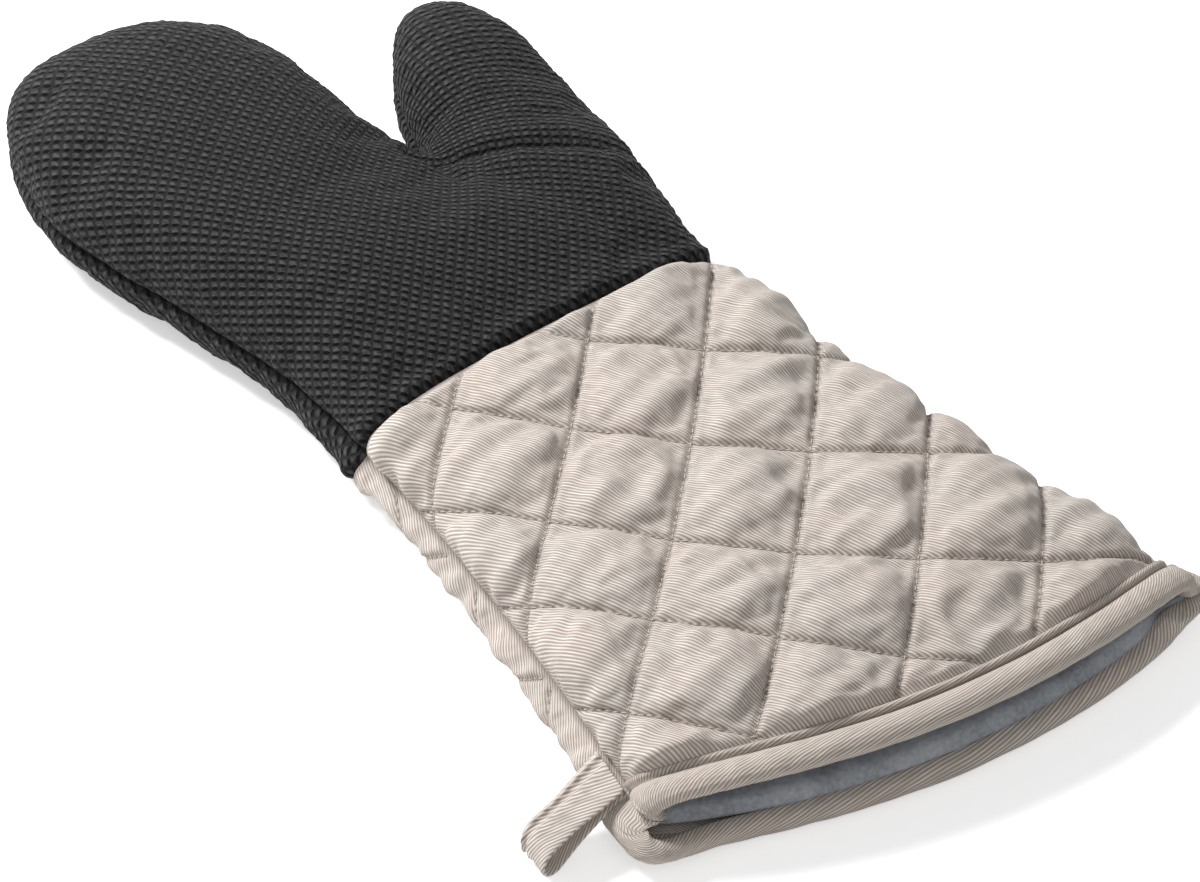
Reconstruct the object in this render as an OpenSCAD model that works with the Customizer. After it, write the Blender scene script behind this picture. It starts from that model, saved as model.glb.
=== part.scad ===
// Gauntlet oven mitt: a padded black hand, a quilted twill cuff, a bound mouth and a hanging loop.
// Each panel is a stack of three sewn layers, shell, wadding and lining, and the back and the palm
// meet face to face at the side seam. Lengths are in millimetres; the fingertips point along +Y,
// the thumb leaves on the +X side, and the mitt lies on its palm at z = 0.

/* [Overall] */
// Height of the hand's side seam above the resting face
seam_height = 18; // [15:0.5:21]
// How far the seam's stitches pull the panel edges in
seam_pinch = 1.6; // [0.6:0.1:2.5]
// Clearance kept between soft pieces that move or fold over each other
soft_clearance = 0.4; // [0.3:0.05:0.8]

/* [Hand] */
// Length of the hand from the join seam to the fingertip
hand_length = 207; // [190:1:222]
// Width of the finger section at its full width
finger_width = 109; // [100:1:116]
// Sideways place of the finger section's middle, from the middle of the cuff
finger_shift = -33; // [-37:0.5:-29]
// Length of the rounded end of the finger section
finger_round = 80; // [60:1:95]
// Length along which the thumb side narrows to the fork of the thumb
fork_length = 104; // [94:1:112]
// Length along which the side away from the thumb widens
palm_length = 150; // [125:1:175]
// Height of the back of the hand above the resting face
hand_height = 43; // [38:1:50]

/* [Thumb] */
// Length of the thumb along its own axis, from the join seam
thumb_length = 160; // [148:1:172]
// Width of the thumb at the join seam
thumb_root_width = 76; // [70:1:84]
// Width that the thumb's taper reaches at its tip
thumb_tip_width = 38; // [33:1:46]
// Length of the thumb's rounded end
thumb_round = 44; // [34:1:55]
// Sideways place of the thumb's root, from the middle of the cuff
thumb_root_shift = 31; // [27:0.5:34]
// Lean of the thumb away from the fingers, in degrees
thumb_lean = 14; // [10:0.5:17]
// Height of the thumb above the resting face
thumb_height = 39; // [34:1:43]

/* [Cuff] */
// Length of the cuff from the join seam to the middle of the mouth
cuff_length = 198; // [180:1:220]
// Width of the mitt at the join seam
join_width = 139; // [132:1:146]
// Height of the mitt at the join seam
join_height = 34; // [31:0.5:37]
// Width of the cuff at the mouth
mouth_width = 190; // [174:1:202]
// Height of the quilted back above the resting face
cuff_height = 38; // [35:0.5:42]
// Height of the cuff at the mouth, under the binding
mouth_height = 25; // [24:0.5:29]
// Height of the side seam at the mouth
mouth_seam = 14.5; // [13.5:0.25:16]
// How far the palm of the cuff spreads out beyond the side seam at the mouth
palm_spread = 15; // [8:0.5:17]
// How far the middle of the mouth stands out beyond its corners
mouth_bow = 18; // [8:1:24]
// Slant of the mouth toward the thumb side, in degrees
mouth_slant = 8.5; // [0:0.5:10]

/* [Quilting] */
// Diagonal of a quilted diamond across the cuff
diamond_across = 54; // [48:1:60]
// Diagonal of a quilted diamond along the cuff
diamond_along = 53; // [48:1:60]
// Rise of a diamond's middle above its stitched edges
diamond_rise = 4.5; // [2.5:0.25:5.5]
// Sideways place of one crossing of the stitch lines
crossing_x = -22.5; // [-27:0.5:0]
// Distance of that crossing from the join seam
crossing_y = 41; // [20:0.5:50]

/* [Layers] */
// Thickness of the hand's coated shell fabric
hand_shell = 2; // [1.5:0.1:2.6]
// Thickness of the hand's wadding
hand_wadding = 5; // [3.5:0.25:6.5]
// Thickness of the hand's lining
hand_lining = 1.2; // [0.8:0.1:1.6]
// Thickness of the cuff's twill shell
cuff_shell = 1.2; // [0.9:0.1:1.6]
// Thickness of the cuff's wadding along its stitch lines
cuff_wadding = 3; // [2.5:0.25:4]
// Thickness of the cuff's lining
cuff_lining = 1; // [0.7:0.1:1.4]

/* [Mouth binding] */
// Width of the bias binding on each face of the mouth's edge
binding_width = 8; // [7:0.5:11]
// Thickness of the folded binding
binding_fabric = 1.6; // [1.2:0.1:2]
// Fullness of the binding's roll beyond its fabric
binding_fullness = 1.2; // [0.6:0.1:2]
// Ease between the binding and the edge that it wraps
binding_ease = 0.7; // [0.6:0.05:0.9]

/* [Hanging loop] */
// Length of the hanging loop beyond the side seam
loop_length = 37; // [34:1:48]
// Width of the loop's tape
tape_width = 14; // [11:0.5:17]
// Thickness of the folded tape
tape_thickness = 1.8; // [1.4:0.1:2.2]
// Height of the space inside the loop's rounded end
loop_eye = 7.5; // [6.5:0.25:9]
// Distance of the loop's middle from the mouth's corner
loop_from_mouth = 21.5; // [20:0.5:30]
// Lean of the loop toward the mouth, from square to the side seam, in degrees
loop_lean = 20; // [6:1:28]

/* [Hidden] */

// Shape constants
FULL = 0.75;              // exponent of a padded cross-section: 1 is an ellipse, less is fuller
DOME = 2.4;               // exponent of a rounded end
FLAT = 1.12;              // the palm's curve is cut flat where it would pass below its level
FLARE = 1.5;              // exponent of the cuff's flare
OVER = 1;                 // how far a cutting solid runs past what it cuts
BACK = 1;
PALM = -1;

// Levels that panels share
join_lift = 1.5;          // height of the palm above the resting face at the join seam
palm_start = 25;          // where the side away from the thumb starts to widen
loop_lift = 0.5;          // height of the loop's end above the resting face
join_rise = join_height - seam_height;
hand_rise = hand_height - seam_height;
thumb_rise = thumb_height - seam_height;
quilt_rise = cuff_height - diamond_rise - seam_height;
mouth_rise = mouth_height - mouth_seam;
binding_proud = binding_ease + binding_fabric + binding_fullness;

// Depth of each surface below the outside: outside, under the shell, under the wadding, inside
hand_depth = [0, hand_shell, hand_shell + hand_wadding, hand_shell + hand_wadding + hand_lining];
cuff_depth = [0, cuff_shell, cuff_shell + cuff_wadding, cuff_shell + cuff_wadding + cuff_lining];

// Facets
arch_steps = [16, 9, 9, 9];      // across a hand panel, for each of the four surfaces
length_steps = [8, 4, 4, 4];     // along the straight part of the hand
inner_dome = [26, 50, 73];        // facet lines round the end of an inner surface
dome_angles = [[18, 34, 49, 62, 73, 83], inner_dome, inner_dome, inner_dome];
diamond_steps = [6, 6, 3, 3];    // facets along a diamond's diagonal, for each surface
edge_angles = [0, 9, 20];        // facet lines where a cuff panel curls to its seam
ring_steps = 18;                 // around half of the mouth
function row_pitch(k) = diamond_along / diamond_steps[k];
function column_pitch(k) = diamond_across / diamond_steps[k];

// ---- Common functions ----
function lerp(a, b, f) = a + (b - a) * f;
function ease(f) = let (g = min(1, max(0, f))) g * g * (3 - 2 * g);
function dome(f) = pow(max(0, 1 - pow(max(0, f), DOME)), 1 / DOME);

// Sideways place at angle a of a section that runs from its left seam (0) to its right seam (180).
// The seam's stitches pinch it in, and the palm spreads away from the seam.
function across(mid, half, a, spread = 0) =
    let (free = 1 - pow(1 - sin(a), 4))
    mid - sign(cos(a)) * pow(abs(cos(a)), FULL) * (half - seam_pinch * (1 - free) + spread * free);

// Height of a section at a share of its arch, on the back or on the palm
function level(side, reach, arch, seam = seam_height) =
    seam + side * (side == BACK ? reach * arch : min(reach, FLAT * reach * arch));

// Share of the arch at a share of the half width
function arch_at(share) = pow(max(0, 1 - pow(abs(share), 2 / FULL)), FULL / 2);

// ---- Closed solids from rows of points ----
// A row runs from the left seam to the right seam, and its keys say which points of two rows
// belong together.
function offsets(rows) = [for (i = 0, n = 0; i < len(rows); n = n + len(rows[i]), i = i + 1) n];

// Where two rows' points match, the facet line between them follows a stitch line if one runs there
function stitched(key, r) = (key + r) % diamond_steps[0] == 0;

function steps_a(a, b, i, j, r) =
    j == len(b) - 1 || (i < len(a) - 1
    && (a[i + 1] < b[j + 1] || (a[i + 1] == b[j + 1] && stitched(a[i + 1], r))));

function strip(a, b, at, bt, r) =
    [for (i = 0, j = 0, s = steps_a(a, b, 0, 0, r); i < len(a) - 1 || j < len(b) - 1;
          i = i + (s ? 1 : 0), j = j + (s ? 0 : 1), s = steps_a(a, b, i, j, r))
        s ? [at + i, at + i + 1, bt + j] : [at + i, bt + j + 1, bt + j]];

function strips(rows, keys, numbers, base = 0) =
    let (at = offsets(rows))
    [for (r = [0:len(rows) - 2])
        each strip(keys[r], keys[r + 1], base + at[r], base + at[r + 1], numbers[r])];

function reversed(v) = [for (i = [len(v) - 1:-1:0]) v[i]];
function turned(faces, flip) = flip ? [for (f = faces) reversed(f)] : faces;
function counted(n, first = 0) = [for (i = [0:n]) first + i];
function firsts(rows, base = 0) = [for (n = offsets(rows)) base + n];
function lasts(rows, base = 0) =
    let (at = offsets(rows)) [for (r = [0:len(rows) - 1]) base + at[r] + len(rows[r]) - 1];

// The solid under one surface, closed along the seam plane and at its first row, and running to a
// last row or to a tip
module closed_panel(rows, keys, numbers, flip, tip) {
    at = firsts(rows);
    ends = lasts(rows);
    last = len(rows) - 1;
    count = ends[last] + 1;
    seam = [for (r = [0:last - 1]) [at[r], at[r + 1], ends[r + 1], ends[r]]];
    round_tip = [for (i = [at[last]:ends[last] - 1]) [i, i + 1, count]];
    faces = concat(strips(rows, keys, numbers), seam, [reversed(counted(ends[0]))], round_tip,
                   [[ends[last], at[last], count]]);
    polyhedron(concat([for (row = rows) each row], [tip]), turned(faces, flip), convexity = 4);
}

// A strip of facets between two lines of points, given by their keys and their places in the list
function band(a, b, places_a, places_b) =
    let (places = concat(places_a, places_b))
    [for (f = strip(a, b, 0, len(a), 0)) [for (i = f) places[i]]];

// The layer between two surfaces, each given as [rows, keys, numbers, distances, end keys]
module layered_panel(outside, inside, flip) {
    a = len(outside[0]) - 1;
    b = len(inside[0]) - 1;
    at = firsts(outside[0]);
    ends = lasts(outside[0]);
    base = ends[a] + 1;
    at_in = firsts(inside[0], base);
    ends_in = lasts(inside[0], base);
    left = band(outside[3], inside[3], at, at_in);
    right = band(outside[3], inside[3], ends, ends_in);
    first_end = band(outside[4][0], inside[4][0],
                     [for (i = [at[0]:ends[0]]) i], [for (i = [at_in[0]:ends_in[0]]) i]);
    last_end = band(outside[4][1], inside[4][1],
                    [for (i = [at[a]:ends[a]]) i], [for (i = [at_in[b]:ends_in[b]]) i]);
    faces = concat(strips(outside[0], outside[1], outside[2]), left, last_end,
                   turned(concat(strips(inside[0], inside[1], inside[2], base), right, first_end),
                          true));
    polyhedron([for (row = concat(outside[0], inside[0])) each row], turned(faces, flip),
               convexity = 6);
}

// A cutting solid's rows also reach past the seam plane
function reached(row, side, over) = over == 0 ? row :
    let (z = seam_height - side * over, n = len(row) - 1)
    concat([[row[0][0], row[0][1], z]], row, [[row[n][0], row[n][1], z]]);

// ---- Hand ----
function hand_lift(y) = join_lift * (1 - ease(y / 30));

function hand_row(side, k, y) =
    let (depth = hand_depth[k],
         f = (y - hand_length + finger_round) / (finger_round - depth),
         left = lerp(join_width / 2, finger_width / 2 - finger_shift,
                     ease((y - palm_start) / (palm_length - palm_start))),
         right = lerp(join_width / 2, finger_width / 2 + finger_shift, ease(y / fork_length)),
         mid = (right - left) / 2,
         half = ((right + left) / 2 - depth) * dome(f),
         spread = cuff_spread(side, 0) * (1 - ease(y / 60)),
         reach = side == BACK ? lerp(join_rise, hand_rise, ease(y / 55)) - depth
                              : seam_height - hand_lift(y) - depth)
    [for (i = counted(arch_steps[k])) let (a = 180 * i / arch_steps[k])
        [across(mid, half, a, spread), y, level(side, reach, dome(f) * pow(sin(a), FULL))]];

module finger_solid(side, k, over) {
    straight = hand_length - finger_round;
    n = length_steps[k];
    run = finger_round - hand_depth[k];
    stations = concat([for (i = [0:n]) straight * i / n],
                      [for (b = dome_angles[k]) straight + run * sin(b)]);
    base = [for (y = stations) reached(hand_row(side, k, y), side, over)];
    rows = over == 0 ? base : concat([[for (p = base[0]) [p[0], p[1] - over, p[2]]]], base);
    first = over == 0 ? 0 : -1;
    keys = [for (row = rows) counted(len(row) - 1, first)];
    tip = [finger_shift, straight + run, seam_height];
    closed_panel(rows, keys, counted(len(rows), first), side == BACK, tip);
}

// ---- Thumb ----
function thumb_row(side, k, s) =
    let (depth = hand_depth[k],
         straight = thumb_length - thumb_round,
         f = (s - straight) / (thumb_round - depth),
         taper = pow(s / thumb_length, 1.5),
         half = (lerp(thumb_root_width, thumb_tip_width, taper) / 2 - depth) * dome(f),
         reach = side == BACK ? lerp(join_rise - 3, thumb_rise, ease(s / 60)) - depth
                              : seam_height - hand_lift(s) - depth,
         n = arch_steps[k] - 4)
    [for (i = [0:n]) let (a = 180 * i / n)
        [across(0, half, a), s, level(side, reach, dome(f) * pow(sin(a), FULL))]];

module thumb_solid(side, k, over) {
    start = thumb_root_width / 2 * tan(thumb_lean) + 1;
    straight = thumb_length - thumb_round;
    run = thumb_round - hand_depth[k];
    n = length_steps[k] - 2;
    stations = concat([for (i = [0:n]) lerp(start, straight, i / n)],
                      [for (b = dome_angles[k]) straight + run * sin(b)]);
    rows = [for (s = stations) reached(thumb_row(side, k, s), side, over)];
    keys = [for (row = rows) counted(len(row) - 1, over == 0 ? 0 : -1)];
    translate([thumb_root_shift, 0, 0]) rotate([0, 0, -thumb_lean])
        closed_panel(rows, keys, counted(len(rows)), side == BACK, [0, straight + run, seam_height]);
}

module hand_solid(side, k, over = 0) {
    finger_solid(side, k, over);
    thumb_solid(side, k, over);
}

module hand_layer(side, k) {
    difference() {
        hand_solid(side, k);
        hand_solid(side, k + 1, OVER);
    }
}

// ---- Cuff ----
// Distances d run from the join seam toward the mouth
function cuff_half(d) =
    lerp(join_width, mouth_width, pow(max(0, d) / (cuff_length - mouth_bow), FLARE)) / 2;

// The side seam comes down toward the mouth, and the palm spreads out
function seam_at(d) = lerp(seam_height, mouth_seam, d / cuff_length);
function cuff_spread(side, d) = side == BACK ? 0 : palm_spread * lerp(0.6, 1, d / cuff_length);

// Distance of the mouth's edge, and of the panels' edge inside the binding, at a sideways place
function mouth_edge(x) =
    cuff_length - mouth_bow * pow(2 * x / mouth_width, 2) + tan(mouth_slant) * x;
function panel_edge(x) = mouth_edge(x) - binding_proud;

// The panels run level under the binding, and one row of a surface's facets further
function from_binding(x, d, k) = panel_edge(x) - d - binding_width - row_pitch(k);

// Share of the full quilted height: none at the join, the seams and under the binding
function quilted(x, d) =
    ease((d - 3) / 12) * ease(from_binding(x, d, 0) / 12)
    * ease((0.95 - abs(x) / cuff_half(d)) / 0.18);

// A diamond's rise: none on its stitch lines, full over its middle
function wave(f) = sin(180 * (f - floor(f)));
function diamond(x, d) =
    let (u = (x - crossing_x) / diamond_across, v = (d - crossing_y) / diamond_along)
    min(1, 1.15 * pow(max(0, wave(u + v) * wave(u - v)), 0.6));

function cuff_reach(side, x, d) =
    let (start = ease(d / 15))
    side == BACK ? lerp(mouth_rise, lerp(join_rise, quilt_rise, start),
                        ease(from_binding(x, d, 3) / 40))
                 : seam_at(d) - lerp(binding_proud, lerp(join_lift, diamond_rise, start),
                                     ease(from_binding(x, d, 0) / 12));

function panel_point(side, k, x, d) =
    let (depth = cuff_depth[k],
         raised = k < 2 ? diamond_rise * diamond(x, d) * quilted(x, d) : 0)
    [x, -d, level(side, cuff_reach(side, x, d) - depth,
                  arch_at(x / (cuff_half(d) + cuff_spread(side, d) - depth)), seam_at(d))
            + side * raised];

function edge_point(side, k, a, d) =
    let (depth = cuff_depth[k], x = across(0, cuff_half(d) - depth, a, cuff_spread(side, d)))
    [x, -d, level(side, cuff_reach(side, x, d) - depth, pow(sin(a), FULL), seam_at(d))];

// Facet columns that lie on the quilting's grid, clear of the curled edges
function columns(side, k, d) =
    let (limit = 0.92 * (cuff_half(d) + 0.6 * cuff_spread(side, d) - cuff_depth[k]))
    [for (i = [ceil((-limit - crossing_x) / column_pitch(k)):1:
               floor((limit - crossing_x) / column_pitch(k))]) i];

function row_keys(side, k, d) =
    let (n = len(edge_angles))
    concat([for (i = [0:n - 1]) i - 1000], columns(side, k, d), [for (i = [n - 1:-1:0]) 1000 - i]);

function cuff_row(side, k, d) =
    let (n = len(edge_angles))
    concat([for (a = edge_angles) edge_point(side, k, a, d)],
           [for (i = columns(side, k, d)) panel_point(side, k, crossing_x + i * column_pitch(k), d)],
           [for (i = [n - 1:-1:0]) edge_point(side, k, 180 - edge_angles[i], d)]);

// One surface of the cuff: its rows, their keys and numbers on the quilting's grid, their distances
// from the join, and the keys of the first and the last row in millimetres
function cuff_surface(side, k) =
    let (pitch = row_pitch(k), first = ceil(-crossing_y / pitch + 0.3),
         final = floor((cuff_length + OVER - crossing_y) / pitch - 0.3),
         stations = concat([0], [for (r = [first:final]) crossing_y + r * pitch],
                           [cuff_length + OVER]),
         keys = [for (d = stations) row_keys(side, k, d)])
    [[for (d = stations) cuff_row(side, k, d)], keys, [for (r = [first - 1:final + 1]) r], stations,
     [for (row = [keys[0], keys[len(keys) - 1]])
        [for (key = row) abs(key) > 500 ? key : key * column_pitch(k)]]];

// Everything beyond the panels' edge at the mouth
module beyond_mouth() {
    wide = mouth_width / 2 + 30;
    n = 20;
    edge = [for (i = [0:n]) let (x = lerp(-wide, wide, i / n)) [x, -panel_edge(x)]];
    translate([0, 0, -OVER]) linear_extrude(height = cuff_height + 2 * OVER)
        polygon(concat(edge, [[wide, -2 * cuff_length], [-wide, -2 * cuff_length]]));
}

module cuff_layer(side, k) {
    difference() {
        layered_panel(cuff_surface(side, k), cuff_surface(side, k + 1), side != BACK);
        beyond_mouth();
    }
}

// ---- Mouth binding ----
// Profile of the folded strip: distance outward from the cuff's outside, and distance back from
// the panels' edge
binding_outer = binding_ease + binding_fabric;
binding_inner = -cuff_depth[3] - binding_outer;
binding_profile = [
    [binding_ease, binding_width],
    [binding_outer, binding_width],
    [binding_proud, 0.62 * binding_width],
    [binding_proud, 0.2 * binding_width],
    [0.6 * binding_outer, -0.7 * binding_proud],
    [-cuff_depth[3] / 2, -binding_proud],
    [-cuff_depth[3] - 0.6 * binding_outer, -0.7 * binding_proud],
    [binding_inner, 0.2 * binding_width],
    [binding_inner, binding_width],
    [-cuff_depth[3] - binding_ease, binding_width],
    [-cuff_depth[3] - binding_ease, -binding_ease],
    [binding_ease, -binding_ease]
];

function ring_place(side, a, out, d) = across(0, cuff_half(d) + out, a, cuff_spread(side, d));

function ring_point(side, a, profile) =
    let (rough = panel_edge(ring_place(side, a, profile[0], cuff_length)),
         edge = panel_edge(ring_place(side, a, profile[0], rough)),
         d = edge - profile[1],
         reach = (side == BACK ? mouth_rise : seam_at(d) - binding_proud) + profile[0])
    [ring_place(side, a, profile[0], d), -d, level(side, reach, pow(sin(a), FULL), seam_at(d))];

binding_stations = concat([for (i = [0:ring_steps]) [BACK, 180 * i / ring_steps]],
                          [for (i = [ring_steps - 1:-1:1]) [PALM, 180 * i / ring_steps]]);
binding_points = [for (s = binding_stations) for (p = binding_profile) ring_point(s[0], s[1], p)];

module mouth_binding() {
    m = len(binding_profile);
    n = len(binding_stations);
    faces = [for (i = [0:n - 1]) for (j = [0:m - 1])
        let (a = i * m + j, b = i * m + (j + 1) % m, c = ((i + 1) % n) * m + (j + 1) % m,
             e = ((i + 1) % n) * m + j)
        each [[a, c, b], [a, e, c]]];
    placed() color("#c9beb4") polyhedron(binding_points, faces, convexity = 6);
}

// ---- Hanging loop ----
// The doubled tape leaves the left side seam, and its hinge line runs along that seam
loop_d = mouth_edge(-mouth_width / 2) - loop_from_mouth;
loop_yaw = atan((cuff_half(loop_d + 5) - cuff_half(loop_d - 5)) / 10);
loop_end = loop_eye / 2 + tape_thickness;
loop_run = loop_length - tape_thickness - loop_end;
loop_slope = asin((seam_at(loop_d) - loop_end - loop_lift) / loop_run);
loop_gap = 2 * soft_clearance + 0.08 * palm_spread;
loop_root = [-cuff_half(loop_d) - (loop_gap + tape_thickness) / cos(loop_yaw),
             -loop_d, seam_at(loop_d)];
loop_reach = loop_run * cos(loop_slope) + loop_end;

// Tapered outline around two circles
module teardrop(run, r1, r2) {
    hull() {
        circle(r = r1, $fn = 32);
        translate([run, 0]) circle(r = r2, $fn = 48);
    }
}

module hanging_loop() {
    eye_start = 8;
    placed() color("#c9beb4") translate(loop_root) rotate([0, 0, 180 - loop_yaw])
        intersection() {
            rotate([90, loop_slope, 0]) linear_extrude(height = 4 * tape_width, center = true)
                difference() {
                    teardrop(loop_run, tape_thickness, loop_end);
                    translate([eye_start, 0])
                        teardrop(loop_run - eye_start, 0.4, loop_eye / 2);
                }
            rotate([0, 0, loop_lean]) cube([4 * loop_length, tape_width, 4 * loop_length], center = true);
        }
}

// ---- Place in the part's frame: the middle of the bounding box, on the resting face ----
loop_far = loop_reach * tan(loop_lean) + tape_width / 2 / cos(loop_lean);
thumb_side = [for (i = [0:60]) let (s = thumb_length * i / 60)
    thumb_root_shift + s * sin(thumb_lean)
    + max([for (p = thumb_row(BACK, 0, s)) p[0]]) * cos(thumb_lean)];
x_high = max(concat([for (p = binding_points) p[0]], thumb_side));
x_low = loop_root[0] - loop_reach * cos(loop_yaw) - loop_far * sin(loop_yaw);
y_low = min([for (p = binding_points) p[1]]);

module placed() {
    translate([-(x_high + x_low) / 2, -(hand_length + y_low) / 2, 0]) children();
}

module hand_back_shell() { placed() color("#3b3b3c") hand_layer(BACK, 0); }
module hand_back_wadding() { placed() color("#e9e6df") hand_layer(BACK, 1); }
module hand_back_lining() { placed() color("#aab1b8") hand_layer(BACK, 2); }
module hand_palm_shell() { placed() color("#3b3b3c") hand_layer(PALM, 0); }
module hand_palm_wadding() { placed() color("#e9e6df") hand_layer(PALM, 1); }
module hand_palm_lining() { placed() color("#aab1b8") hand_layer(PALM, 2); }
module cuff_back_shell() { placed() color("#cfc4ba") cuff_layer(BACK, 0); }
module cuff_back_wadding() { placed() color("#e9e6df") cuff_layer(BACK, 1); }
module cuff_back_lining() { placed() color("#aab1b8") cuff_layer(BACK, 2); }
module cuff_palm_shell() { placed() color("#cfc4ba") cuff_layer(PALM, 0); }
module cuff_palm_wadding() { placed() color("#e9e6df") cuff_layer(PALM, 1); }
module cuff_palm_lining() { placed() color("#aab1b8") cuff_layer(PALM, 2); }

hand_back_shell();
hand_back_wadding();
hand_back_lining();
hand_palm_shell();
hand_palm_wadding();
hand_palm_lining();
cuff_back_shell();
cuff_back_wadding();
cuff_back_lining();
cuff_palm_shell();
cuff_palm_wadding();
cuff_palm_lining();
mouth_binding();
hanging_loop();
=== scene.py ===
"""Dressed gauntlet oven mitt: black knit hand, quilted twill cuff, bias binding and hanging loop."""

import logging
import math
from dataclasses import dataclass, field
from enum import Enum
from functools import cache
from typing import Callable

import bmesh
import bpy
import numpy as np
from mathutils import Matrix, Vector, noise
from mathutils.bvhtree import BVHTree


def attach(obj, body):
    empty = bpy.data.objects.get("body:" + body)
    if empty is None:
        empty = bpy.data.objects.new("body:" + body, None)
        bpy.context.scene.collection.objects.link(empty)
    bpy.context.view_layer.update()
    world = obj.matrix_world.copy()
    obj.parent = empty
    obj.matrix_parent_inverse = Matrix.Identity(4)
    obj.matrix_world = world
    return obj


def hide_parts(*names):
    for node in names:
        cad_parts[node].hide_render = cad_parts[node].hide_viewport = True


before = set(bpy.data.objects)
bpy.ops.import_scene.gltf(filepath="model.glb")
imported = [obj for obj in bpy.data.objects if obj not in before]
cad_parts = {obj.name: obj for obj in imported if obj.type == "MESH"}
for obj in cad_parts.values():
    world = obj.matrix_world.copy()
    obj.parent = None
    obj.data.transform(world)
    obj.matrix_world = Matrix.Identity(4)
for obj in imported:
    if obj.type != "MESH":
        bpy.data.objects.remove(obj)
LOG = logging.getLogger("oven_mitt")
MM = 0.001
CLOTH_UV = "cloth"
# attribute holding the painted shade of folds, seams, grooves and stitch pits
PAINTED_SHADE = "shade"
Numbers = float | np.ndarray
Places = tuple[Numbers, Numbers, Numbers]


class Side(Enum):
    """The two halves of the mitt, with the way each one bulges."""

    BACK = 1
    PALM = -1


# ---------------------------------------------------------------- pattern

def mix(a: Numbers, b: Numbers, share: Numbers) -> Numbers:
    """Value between a and b at a share from 0 to 1."""
    return a + (b - a) * share


def ease(share: Numbers) -> Numbers:
    """Smooth step of a share, held between 0 and 1."""
    g = np.clip(share, 0.0, 1.0)
    return g * g * (3.0 - 2.0 * g)


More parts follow.
